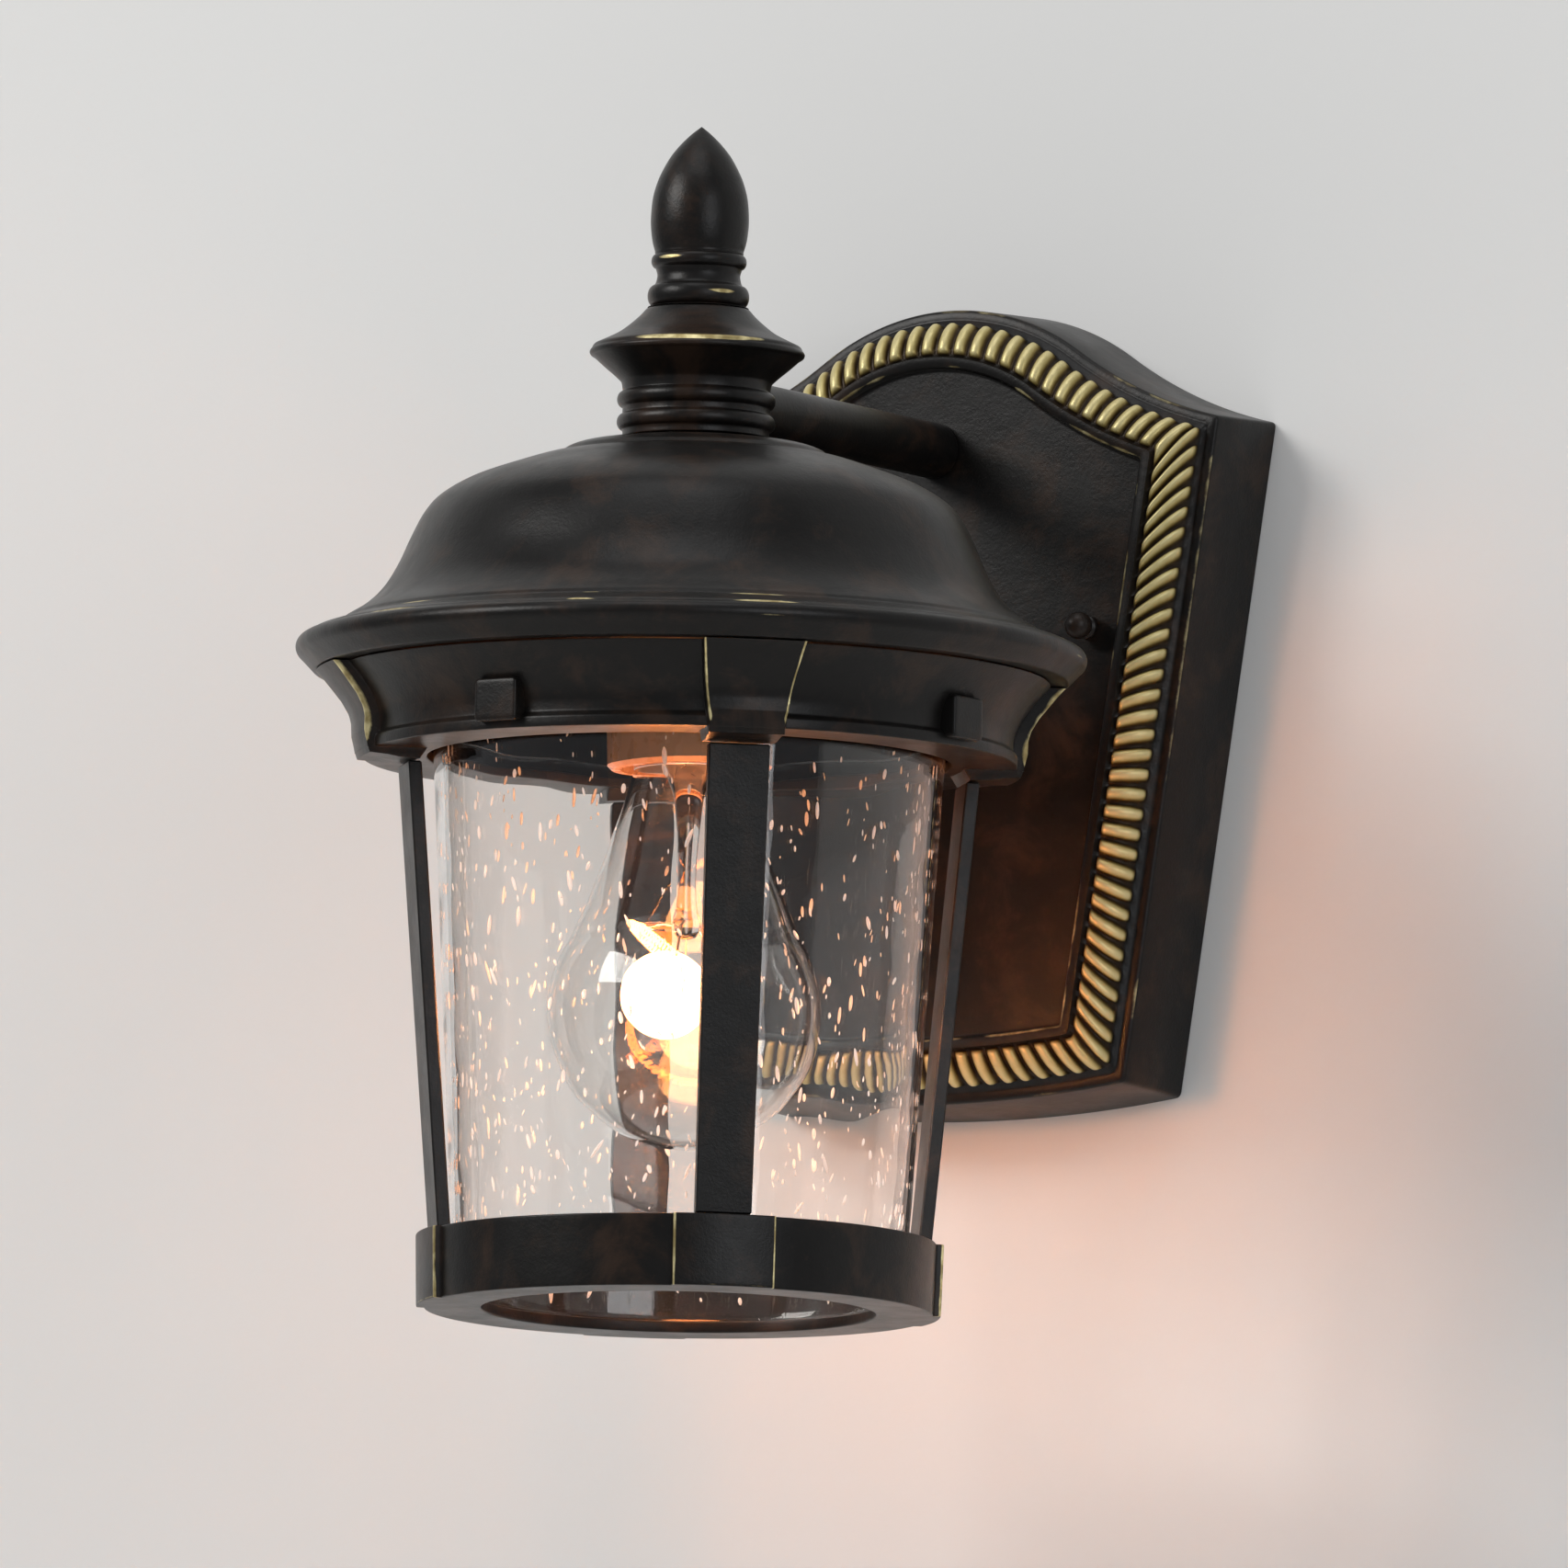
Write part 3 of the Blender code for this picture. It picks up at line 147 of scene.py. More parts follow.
def anglesRound(columns):
    # evenly spaced angles, one full turn less the last step
    return tau * np.arange(columns) / columns


def angleFrom(angle, toward):
    # signed turn from a direction, never more than half a turn
    return np.angle(np.exp(1j * (angle - toward)))


def turnProfile(profile, columns, centre=(0.0, 0.0)):
    # surface of revolution: radius times the cosine and sine of the angle, at the profile's height
    a = anglesRound(columns)
    r, z = profile[:, 0, None], profile[:, 1, None]
    return np.stack([centre[0] + r * np.cos(a), centre[1] + r * np.sin(a), z + 0 * a], axis=-1)


def turnOnAxis(profile, columns):
    # the same round the lantern's axis, with heights counted from its foot
    return turnProfile(np.asarray(profile, float) + [0, footZ], columns, (axisX, axisY))


def roundAxis(radius, angle, height):
    # a grid round the lantern's axis whose radius may change with the angle
    return np.stack([axisX + radius * np.cos(angle), axisY + radius * np.sin(angle), height + 0 * angle], -1)


def alongWall(grid, x, z):
    # a piece turned about Z, laid so that its own +Z points from the wall into the room
    return np.stack([x + grid[..., 0], -grid[..., 2], z + grid[..., 1]], axis=-1)


def smoothStep(low, high, value):
    # 0 below low and 1 above high, with a smooth cubic between them
    t = np.clip((value - low) / (high - low), 0, 1)
    return t * t * (3 - 2 * t)


def gridFaces(rows, columns, wrapRows, start):
    # four corners of every cell, columns always closing round
    i = np.arange(rows if wrapRows else rows - 1)[:, None]
    j = np.arange(columns)[None, :]
    below, beside = (i + 1) % rows, (j + 1) % columns
    corners = [i * columns + j, below * columns + j, below * columns + beside, i * columns + beside]
    return start + np.stack([np.broadcast_to(c, (len(i), columns)) for c in corners], -1).reshape(-1, 4)


def makePiece(name, surfaces, material, body, stands=(), sharp=50):
    # surfaces: (grid of rows by columns by three, whether its rows close round, {mark: value at each point})
    points, faces, marks, start = [], [], {}, 0
    for grid, wrapRows, given in surfaces:
        rows, columns = grid.shape[:2]
        faces.append(gridFaces(rows, columns, wrapRows, start))
        points.append(grid.reshape(-1, 3))
        for key, value in given.items():
            marks.setdefault(key, []).append((start, np.broadcast_to(value, (rows, columns)).reshape(-1)))
        start += rows * columns
    points, faces = np.vstack(points), np.vstack(faces)
    mesh = bpy.data.meshes.new(name)
    mesh.from_pydata(points.tolist(), [], faces.tolist())
    for key, spans in marks.items():
        values = np.zeros(len(points), np.float32)
        for begin, value in spans:
            values[begin:begin + len(value)] = value
        mesh.attributes.new(key, "FLOAT", "POINT").data.foreach_set("value", values)
    work = bmesh.new()
    work.from_mesh(mesh)
    bmesh.ops.remove_doubles(work, verts=work.verts, dist=1e-7)
    work.to_mesh(mesh)
    work.free()
    mesh.shade_smooth()
    mesh.set_sharp_from_angle(angle=math.radians(sharp))
    piece = bpy.data.objects.new(name, mesh)
    bpy.context.scene.collection.objects.link(piece)
    piece.data.materials.append(material)
    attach(piece, body)
    if stands:
        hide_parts(*stands)
    return piece


def roundedBlock(centre, half, turn, square=0.22, rows=22, columns=44):
    # superellipsoid: cosines and sines raised to a small power, so a ball swells into a box with round edges
    v = np.linspace(math.pi / 2, -math.pi / 2, rows)[:, None]
    u = anglesRound(columns)[None, :]

    def power(wave):        # the size raised to the small power, its sign kept
        return np.sign(wave) * np.abs(wave) ** square

    x = half[0] * power(np.cos(v)) * power(np.cos(u))
    y = half[1] * power(np.cos(v)) * power(np.sin(u))
    z = half[2] * power(np.sin(v)) + 0 * u
    x, y, z = (np.where(np.abs(w) < 1e-12, 0, w) for w in (x, y, z))
    c, s = math.cos(turn), math.sin(turn)
    return np.stack([centre[0] + c * x - s * y, centre[1] + s * x + c * y, centre[2] + z], -1)


def tubeAlong(path, radius, columns=12):
    # a round tube: each point of the path carries a circle in the plane across the path, and the ends close
    p = np.asarray(path, float)
    way = np.gradient(p, axis=0)
    way /= np.linalg.norm(way, axis=1)[:, None]
    side = np.zeros_like(p)
    side[0] = np.cross(way[0], (0.3, 0.5, 0.81))
    side[0] /= np.linalg.norm(side[0])
    for k in range(1, len(p)):       # each circle starts where the last did, less what points along the way
        flat = side[k - 1] - way[k] * np.dot(side[k - 1], way[k])
        side[k] = flat / np.linalg.norm(flat)
    up = np.cross(way, side)
    a = -tau * np.arange(columns) / columns
    size = np.broadcast_to(radius, len(p)).astype(float)
    ring = p[:, None] + size[:, None, None] * (np.cos(a)[None, :, None] * side[:, None]
                                               + np.sin(a)[None, :, None] * up[:, None])
    first = np.repeat(p[:1, None], columns, axis=1)
    last = np.repeat(p[-1:, None], columns, axis=1)
    return np.concatenate([first, ring, last])


def cutThread(grid, profile, pitch, depth, low, high, where, sign=1):
    # moves a turned grid in or out by a rounded wave of the height less the turn times the pitch,
    # fading at both ends
    columns, fade = grid.shape[1], 0.6 * pitch
    z = profile[:, 1, None]
    wave = 0.5 + 0.5 * np.cos(tau * (z / pitch - np.arange(columns)[None, :] / columns))
    ends = smoothStep(low, low + fade, z) * (1 - smoothStep(high - fade, high, z))
    lift = sign * depth * wave * ends * where
    a = anglesRound(columns)[None, :]
    grid[..., 0] += lift * np.cos(a)
    grid[..., 1] += lift * np.sin(a)


class Wire:
    # a value or a colour on its way through a node tree; + - * add Math nodes
    def __init__(self, finish, socket):
        self.finish = finish
        self.socket = socket

    def meet(self, operation, first, second):
        return self.finish.add("ShaderNodeMath", {"operation": operation}, {0: first, 1: second})

    def __add__(self, other):
        return self.meet("ADD", self, other)

    def __radd__(self, other):
        return self.meet("ADD", other, self)

    def __sub__(self, other):
        return self.meet("SUBTRACT", self, other)

    def __rsub__(self, other):
        return self.meet("SUBTRACT", other, self)

    def __mul__(self, other):
        return self.meet("MULTIPLY", self, other)

    def __rmul__(self, other):
        return self.meet("MULTIPLY", other, self)

    def clipped(self):
        return self.finish.add("ShaderNodeClamp", {}, {"Value": self})

    def between(self, low, high):
        # 0 below low, 1 above high, smooth between
        return self.finish.add("ShaderNodeMapRange", {"interpolation_type": "SMOOTHSTEP"},
                               {"Value": self, "From Min": low, "From Max": high})


class Finish:
    # one material: a Principled shader and the nodes that feed it
    def __init__(self, name, **fixed):
        self.material = bpy.data.materials.new(name)
        self.material.use_nodes = True
        self.tree = self.material.node_tree
        self.shader = self.tree.nodes["Principled BSDF"]
        self.outlet = self.tree.nodes["Material Output"]
        for key, value in fixed.items():
            socket = self.shader.inputs[key.replace("_", " ")]
            socket.default_value = (*value, 1.0) if isinstance(value, tuple) else value

    def add(self, kind, settings, sockets, output=0):
        # settings are set first, then the sockets take values or links
        node = self.tree.nodes.new(kind)
        for key, value in settings.items():
            if key == "stops":
                stops = node.color_ramp.elements
                while len(stops) < len(value):
                    stops.new(0.5)
                for stop, (place, colour) in zip(stops, value):
                    stop.position, stop.color = place, (*colour, 1.0)
            else:
                setattr(node, key, value)
        for key, value in sockets.items():
            if isinstance(value, Wire):
                self.tree.links.new(value.socket, node.inputs[key])
            elif isinstance(value, tuple) and len(value) == 3 and node.inputs[key].type == "RGBA":
                node.inputs[key].default_value = (*value, 1.0)
            else:
                node.inputs[key].default_value = value
        return Wire(self, node.outputs[output])

    def place(self):
        return self.add("ShaderNodeTexCoord", {}, {}, "Object")

    def mark(self, name):
        return self.add("ShaderNodeAttribute", {"attribute_name": name}, {}, "Fac")

    def noise(self, scale, detail=3.0, rough=0.5, stretch=None, warp=0.0):
        at = self.place()
        if stretch:
            at = self.add("ShaderNodeMapping", {}, {"Vector": at, "Scale": stretch})
        return self.add("ShaderNodeTexNoise", {}, {"Vector": at, "Scale": scale, "Detail": detail,
                                                  "Roughness": rough, "Distortion": warp}, "Fac")

    def mix(self, factor, first, second):
        return self.add("ShaderNodeMix", {"data_type": "RGBA"}, {0: factor, 6: first, 7: second}, 2)

    def feed(self, **inputs):
        for key, wire in inputs.items():
            self.tree.links.new(wire.socket, self.shader.inputs[key.replace("_", " ")])
        return self

    def bump(self, height, distance, strength=1.0):
        lift = self.add("ShaderNodeBump", {}, {"Height": height, "Distance": distance, "Strength": strength})
        self.tree.links.new(lift.socket, self.shader.inputs["Normal"])
        return self


bronzeLook = {
    "dark": (0.0062, 0.0056, 0.0052), "warm": (0.034, 0.0190, 0.0120), "gold": (0.80, 0.70, 0.38),
    "deepGold": (0.36, 0.28, 0.12), "rough": 0.35, "roughSpread": 0.24, "grain": 0.08 * mm, "specular": 0.24,
    "cloud": 62, "speck": 420, "wear": 210, "goldCloud": 330, "roughCloud": 95, "castGrain": 1500,
    "softGrain": 260, "rubAndGlintLevel": 0.55, "rubAndGlintSharpness": 3.6, "goldMetal": 0.72,
    "fluteMetal": 0.42, "fluteRough": 0.40,
    # gold of the fluting, from its grooves to its crests; the paler crests and darker sides are partly a
    # painted highlight and painted shade
    "fluteStops": [(0.0, (0.022, 0.013, 0.006)), (0.30, (0.075, 0.046, 0.013)), (0.58, (0.29, 0.215, 0.068)),
                   (0.82, (0.52, 0.43, 0.18)), (1.0, (0.66, 0.57, 0.29))],
}


def makeBronze(name="oil_rubbed_bronze", gilded=False):
    # near-black paint with faint brown clouds, a fine cast grain, and gold where the edge mark is high:
    # partly gold rubbed through on worn edges, partly painted glints
    look = bronzeLook
    made = Finish(name, Specular_IOR_Level=look["specular"])
    cloud = made.noise(look["cloud"], 5, 0.66, warp=0.4).between(0.46, 0.70)
    speck = made.noise(look["speck"], 3, 0.6).between(0.60, 0.78)
    base = made.mix(cloud * 0.75 + speck * 0.25, look["dark"], look["warm"])
    wear = made.noise(look["wear"], 4, 0.65)
    patch = made.noise(look["cloud"], 2).between(0.40, 0.56)
    # the gold mark broken up by noise: rubbed gold on edges, and in places painted glints
    rub = (made.mark("rub") * (0.50 + wear * 0.95 + patch * 0.55) - look["rubAndGlintLevel"]) * look["rubAndGlintSharpness"]
    rub = rub.clipped()
    gold = made.mix(made.noise(look["goldCloud"], 3).between(0.35, 0.7), look["deepGold"], look["gold"])
    colour = made.mix(rub, base, gold)
    metal = rub * look["goldMetal"]
    spread = look["roughSpread"]
    rough = look["rough"] - 0.5 * spread + made.noise(look["roughCloud"], 4, 0.6) * spread
    if gilded:
        # fluting: pale gold on the crests, darker gold on their sides and brown in the grooves, partly a
        # painted highlight on the crests and painted shade on the sides and grooves
        body = made.mark("gild")
        height = made.mark("flute") + (made.noise(look["softGrain"], 4, 0.6) - 0.5) * 0.35
        tint = made.add("ShaderNodeValToRGB", {"stops": look["fluteStops"]}, {"Fac": height.clipped()})
        colour = made.mix(body, colour, tint)
        metal = metal + body * look["fluteMetal"]
        rough = rough * (1 - body) + body * look["fluteRough"]
    made.feed(Base_Color=colour, Metallic=metal.clipped(), Roughness=rough.clipped())
    grain = made.noise(look["castGrain"], 3, 0.6) + made.noise(look["softGrain"], 3, 0.5) * 1.4
    return made.bump(grain, look["grain"], 0.55).material


def makeGlass(name, tint, wave):
    # clear glass, its face bumped by slow waves that are drawn out upwards
    made = Finish(name, Base_Color=tint, Transmission_Weight=1.0, Roughness=0.0, IOR=1.46)
    return made.bump(made.noise(60, 2, 0.5, stretch=(1, 1, 0.35)), wave, 0.6).material


def makeSeedAir():
    # the inner face of a bubble: half clear, half a pale white that is a painted sheen standing in for the
    # bubbles' reflections, a little rougher in places
    made = Finish("seed_painted_sheen", Base_Color=(1.0, 0.98, 0.95), Transmission_Weight=0.55, IOR=1.2)
    return made.feed(Roughness=0.24 + made.noise(900, 2) * 0.12).material


def makeMetal(name, colour, dull, rough, scratch=(1, 1, 1), scale=700, depth=0.02 * mm):
    # bare metal: two shades in a fine streaked noise, which also moves its roughness
    made = Finish(name, Metallic=1.0)
    streak = made.noise(scale, 4, 0.6, stretch=scratch)
    cloud = made.noise(60, 3)
    made.feed(Base_Color=made.mix((streak * 0.6 + cloud * 0.6).between(0.35, 0.85), colour, dull),
              Roughness=rough + (streak - 0.5) * 0.2)
    return made.bump(streak, depth, 0.5).material


def makePlain(name, colour, shade, rough, scale=300, depth=0.03 * mm, coat=0.0):
    # a painted, glazed or moulded surface: two close shades in soft clouds and a slight orange-peel
    made = Finish(name, Coat_Weight=coat, Coat_Roughness=0.08)
    cloud = made.noise(scale * 0.12, 4)
    made.feed(Base_Color=made.mix(cloud.between(0.3, 0.75), colour, shade),
              Roughness=rough + (made.noise(scale, 3) - 0.5) * 0.12)
    return made.bump(made.noise(scale, 2), depth, 0.4).material


def makeHotWire():
    # hot wire, brightest in the middle of its length, which the mark called heat gives
    made = Finish("hot_tungsten", Base_Color=(0.9, 0.5, 0.2), Roughness=0.5, Emission_Strength=90.0)
    heat = made.mark("heat")
    made.feed(Emission_Color=made.mix(heat, (0.55, 0.12, 0.02), (1.0, 0.62, 0.26)))
    return made.material


bronze = makeBronze()
fluted = makeBronze("fluted_bronze", gilded=True)
zinc = makeMetal("zinc_plate", (0.62, 0.62, 0.63), (0.42, 0.42, 0.41), 0.36, (1, 1, 6))
greenZinc = makeMetal("green_zinc", (0.10, 0.36, 0.15), (0.05, 0.22, 0.08), 0.4)
brass = makeMetal("turned_brass", (0.80, 0.60, 0.28), (0.52, 0.36, 0.14), 0.3, (1, 1, 8))
aluminium = makeMetal("rolled_aluminium", (0.86, 0.86, 0.86), (0.62, 0.62, 0.63), 0.3, (1, 1, 8))
# orange-brown porcelain: painted light, the bulb's orange glow painted onto a white porcelain socket
porcelain = makePlain("porcelain_painted_bulb_glow", (0.62, 0.37, 0.19), (0.48, 0.27, 0.13), 0.28, coat=0.3)
blackGlass = makePlain("black_glass", (0.012, 0.012, 0.014), (0.03, 0.03, 0.035), 0.16)
blackSleeve = makePlain("black_sleeve", (0.016, 0.016, 0.017), (0.03, 0.03, 0.03), 0.5)
whiteSleeve = makePlain("white_sleeve", (0.80, 0.79, 0.75), (0.68, 0.67, 0.62), 0.5)
shadeGlass = makeGlass("seeded_glass", (0.985, 0.985, 0.975), 0.05 * mm)
bulbClear = makeGlass("bulb_clear_glass", (0.99, 0.99, 0.985), 0.012 * mm)
seedPaintedSheen = makeSeedAir()
tungsten = makeHotWire()
print("materials made")


viewOf = {"azimuth": 29.98, "elevation": -6.43, "roll": 1.12, "distance": 15.0, "field": 344.3 * mm,
          "centreHeight": 117.0 * mm, "centreRight": 20.9 * mm, "sensor": 36, "clip": (0.1, 80)}


def makeCamera():
    # stands off the target along its direction, with a lens that takes in the field at that distance
    a, e = math.radians(viewOf["azimuth"]), math.radians(viewOf["elevation"])
    back = Vector((math.sin(a) * math.cos(e), -math.cos(a) * math.cos(e), math.sin(e)))
    right = Vector((math.cos(a), math.sin(a), 0))
    target = Vector((axisX, axisY, footZ + viewOf["centreHeight"])) + right * viewOf["centreRight"]
    lens = bpy.data.cameras.new("camera")
    lens.sensor_width = viewOf["sensor"]
    lens.lens = viewOf["sensor"] * viewOf["distance"] / viewOf["field"]
    lens.clip_start, lens.clip_end = viewOf["clip"]
    camera = bpy.data.objects.new("camera", lens)
    camera.location = target + back * viewOf["distance"]
    camera.rotation_mode = "QUATERNION"
    roll = Quaternion((0, 0, 1), math.radians(viewOf["roll"]))
    camera.rotation_quaternion = (-back).to_track_quat("-Z", "Y") @ roll
    bpy.context.scene.collection.objects.link(camera)
    bpy.context.scene.camera = camera


makeCamera()
print("camera placed")


plate = {
    "top": 234.1 * mm, "crownRadius": 56 * mm, "ogeeRadius": 104 * mm, "ogeeSlope": 35.0,
    "shoulderSlope": 13.0, "footHeight": 60.6 * mm, "footHalf": 47.6 * mm, "footSag": 3.4 * mm,
    "depth": 23.7 * mm, "draft": 1.15 * mm,
    "rim": 2.4 * mm, "band": 9.0 * mm, "bandRise": 8.0 * mm, "fillet": 2.4 * mm, "panelDrop": 2.0 * mm,
    "wall": 2.5 * mm, "lobes": 116, "lobeRise": 1.5 * mm, "columnsPerLobe": 13, "fanHeight": 126 * mm,
    "cornerRadius": 1.6 * mm, "outlinePoints": 3000, "bandSteps": 24,
    # rows in mm, each with the gold on it: across the rim, from its edge and from the depth; then over the
    # inner ledge, from its foot and from the face; then onto the panel, from the ledge's foot and the panel
    "rimRows": [(0.0, -0.9, 0), (0.2, -0.35, 0.42), (0.7, 0.0, 0.36)],
    "ledgeRows": [(-0.45, 0.0, 0.46), (-0.1, -0.25, 0.40)],
    "panelRows": [(0.1, 0.2, 0), (0.5, 0.0, 0), (0.9, 0.0, 0), (1.4, 0.0, 0)],
    # where along the band's quarter-round, from 0 to 1, lobes, gold and depth come in and go out
    "lobeIn": (0.06, 0.30), "lobeOut": (0.89, 0.965), "gildIn": (0.10, 0.24), "gildOut": (0.93, 0.97),
    "liftIn": (0.0, 0.12), "liftOut": (0.95, 1.0), "lobeWidth": 0.62, "lobeWiden": 0.18,
}


def plateOutline(inset):
    # right half of the outline moved inwards: crown arc, ogee arc, straight side, curved foot
    p = plate
    crown = np.array([0, p["top"] - p["crownRadius"]])
    slope = math.radians(p["ogeeSlope"])
    ogee = crown + (p["crownRadius"] + p["ogeeRadius"]) * np.array([math.sin(slope), math.cos(slope)])
    out = math.radians(p["shoulderSlope"])
    shoulder = ogee - p["ogeeRadius"] * np.array([math.sin(out), math.cos(out)])
    corner = np.array([p["footHalf"], p["footHeight"]])
    way = (corner - shoulder) / np.linalg.norm(corner - shoulder)
    inward = inset * np.array([way[1], -way[0]])
    footRadius = (p["footHalf"] ** 2 + p["footSag"] ** 2) / (2 * p["footSag"])
    footCentre = np.array([0, p["footHeight"] - p["footSag"] + footRadius])

    def meet(centre, radius, near):     # where the straight side crosses a circle, nearest to a point
        offset = shoulder + inward - centre
        half = offset @ way
        root = math.sqrt(max(half ** 2 - offset @ offset + radius ** 2, 0))
        ends = [shoulder + inward + way * (-half + s * root) for s in (1, -1)]
        return min(ends, key=lambda q: np.linalg.norm(q - near))

    top = meet(ogee, p["ogeeRadius"] + inset, shoulder)
    foot = meet(footCentre, footRadius - inset, corner)
    a = np.linspace(0, slope, 60, endpoint=False)[:, None]
    crownArc = crown + (p["crownRadius"] - inset) * np.hstack([np.sin(a), np.cos(a)])
    end = math.atan2(*(ogee - top))
    a = np.linspace(slope, end, 60, endpoint=False)[:, None]
    ogeeArc = ogee - (p["ogeeRadius"] + inset) * np.hstack([np.sin(a), np.cos(a)])
    side = top + np.linspace(0, 1, 90, endpoint=False)[:, None] * (foot - top)
    turn = math.asin(foot[0] / (footRadius - inset))
    a = np.linspace(turn, 0, 60)[:, None]
    footArc = footCentre + (footRadius - inset) * np.hstack([np.sin(a), -np.cos(a)])
    return np.vstack([crownArc, ogeeArc, side, footArc])


def closeOutline(inset, soften):
    # both halves, the corners turned on a small radius, kept as a dense ring of points
    half = plateOutline(inset)
    whole = np.vstack([half, (half * [-1, 1])[-2:0:-1]])
    ring = np.vstack([whole, whole[:1]])
    run = lengthAlong(ring)
    count = plate["outlinePoints"]
    fine = resample(np.linspace(0, run[-1], count, endpoint=False), run, ring)
    return blurLine(fine, bellWeights(soften, run[-1] / count), True)


def ringAtAngles(ring, angles, centre):
    # where rays from the centre cross a ring of points
    offset = ring - centre
    polar = np.unwrap(np.arctan2(offset[:, 0], offset[:, 1]))
    order = np.argsort(polar)
    turn = polar[order]
    full = np.concatenate([turn - tau, turn, turn + tau])
    return np.column_stack([np.interp(angles, full, np.tile(offset[order, k], 3)) for k in range(2)]) + centre


def fadeInOut(t, comeIn, goOut):
    # rises smoothly from 0 to 1 over the first span and falls back over the second
    return smoothStep(*comeIn, t) * (1 - smoothStep(*goOut, t))


def makePlate():
    # rows of outlines that move inwards and away from the wall; over the band each row is lifted by lobes,
    # a lobe being 1 less its place across to a power, all to another power
    p = plate
    centre = np.array([0, p["fanHeight"]])
    middle = closeOutline(p["rim"] + p["band"] / 2, 0.6 * mm)
    # lobes are evenly spaced along the band's middle, and each one runs along a ray from the fan's centre
    ring = np.vstack([middle, middle[:1]])
    run = lengthAlong(ring)
    columns = p["lobes"] * p["columnsPerLobe"]
    spots = resample(run[-1] * np.arange(columns) / columns, run, ring)
    rays = np.unwrap(np.arctan2(spots[:, 0], spots[:, 1] - centre[1]))
    phase = (np.arange(columns) % p["columnsPerLobe"]) / p["columnsPerLobe"]
    depth, wall, face = p["depth"], p["wall"], p["depth"] + p["bandRise"]
    panel = face - p["panelDrop"]
    start, end = p["rim"], p["rim"] + p["band"]
    far = end + p["fillet"]
    around = np.radians(np.linspace(0, 90, p["bandSteps"] + 1))
    sections = [(-p["draft"], 0.0, 0), (-p["draft"] * 0.5, depth * 0.5, 0)]
    sections += [(inset * mm, depth + away * mm, gold) for inset, away, gold in p["rimRows"]]
    sections += [(start - 0.35 * mm, depth, 0)]
    firstBand = len(sections)
    sections += [(start + p["band"] * (1 - math.cos(a)), depth + p["bandRise"] * math.sin(a), 0)
                 for a in around]
    sections += [(end + 0.4 * mm, face, 0)]
    sections += [(far + inset * mm, face + away * mm, gold) for inset, away, gold in p["ledgeRows"]]
    sections += [(far + inset * mm, panel + away * mm, gold) for inset, away, gold in p["panelRows"]]

    def outlineRow(inset, soften):      # where the rays cross an outline
        return ringAtAngles(closeOutline(inset, soften), rays, centre)

    def standUp(flat, away):            # a flat outline lifted off the wall
        return np.column_stack([flat[:, 0], np.broadcast_to(-away, columns), flat[:, 1] + footZ])

    rows, marks = [], {"rub": [], "flute": [], "gild": []}
    for number, (inset, away, gold) in enumerate(sections):
        flat = outlineRow(inset, max(0.5 * p["cornerRadius"] - 0.03 * abs(inset), 0.5 * mm))
        flute, gild = np.zeros(columns), 0.0
        if firstBand <= number < firstBand + len(around):
            angle = around[number - firstBand]
            t = (number - firstBand) / p["bandSteps"]
            narrow = p["lobeWidth"] + p["lobeWiden"] * smoothStep(0.0, 0.55, t)
            bulge = np.clip(1 - (np.abs(2 * phase - 1) / narrow) ** 2.2, 0, 1) ** 0.75
            flute = bulge * fadeInOut(t, p["lobeIn"], p["lobeOut"])
            gild = fadeInOut(t, p["gildIn"], p["gildOut"])
            lift = p["lobeRise"] * (flute - 1) * fadeInOut(t, p["liftIn"], p["liftOut"])
            normal = (flat - centre) / np.linalg.norm(flat - centre, axis=1)[:, None]
            flat = flat + normal * (lift * math.cos(angle))[:, None]
            away = away + lift * math.sin(angle)
        for key, value in (("rub", gold), ("flute", flute), ("gild", gild)):
            marks[key].append(np.broadcast_to(value, columns))
        rows.append(standUp(flat, away))
    # the panel closes on its middle, and the hollow behind it follows at a wall's thickness
    middleFront = np.column_stack([np.zeros(columns), np.full(columns, -panel),
                                   np.full(columns, footZ + p["fanHeight"])])
    middleBack = middleFront * [1, 0, 1] + [0, -(panel - wall), 0]
    inside = [(end, panel - wall), (start + 2 * wall, depth), (2 * wall, depth - wall),
              (wall, depth - 3 * wall), (wall - p["draft"], 0.0)]
    back = [middleBack] + [standUp(outlineRow(inset, 1.0 * mm), away) for inset, away in inside]
    back.insert(1, back[0] * 0.5 + back[1] * 0.5)
    grid = np.stack(rows + [rows[-1] * 0.5 + middleFront * 0.5, middleFront] + back + [rows[0]])
    plain = np.zeros((len(grid) - len(rows), columns))
    marks = {key: np.vstack([np.stack(value), plain]) for key, value in marks.items()}
    return makePiece("back_plate", [(grid, False, marks)], fluted, "lantern", ["backplate"], 60)


backPlate = makePlate()
print("back plate made:", len(backPlate.data.polygons), "faces")


def inMm(points):
    # numbers given in millimetres, as metres
    return np.array(points, float) * mm


def patchesRound(angle, patches, power=2):
    # the most of several bells: e to the minus (turn from the middle, over the spread, to a power)
    return np.maximum.reduce([np.exp(-(angleFrom(angle, toward) / spread) ** power)
                              for toward, spread in patches])


def goldNear(profile, edges, reach):
    # gold along edges of a profile, each a radius, a height and an amount: the most of the bells of distance
    r, z = profile.T
    bells = [amount * np.exp(-(np.hypot(r - radius * mm, z - height * mm) / reach) ** 2)
             for radius, height, amount in edges]
    return np.maximum.reduce(bells)[:, None]


def bead(radius, waist, height, half, steps=14):
    # half an ellipse standing out of the waist, from its top to its foot
    a = np.radians(np.linspace(90, -90, steps + 1))
    return np.column_stack([waist + (radius - waist) * np.cos(a), height + half * np.sin(a)])


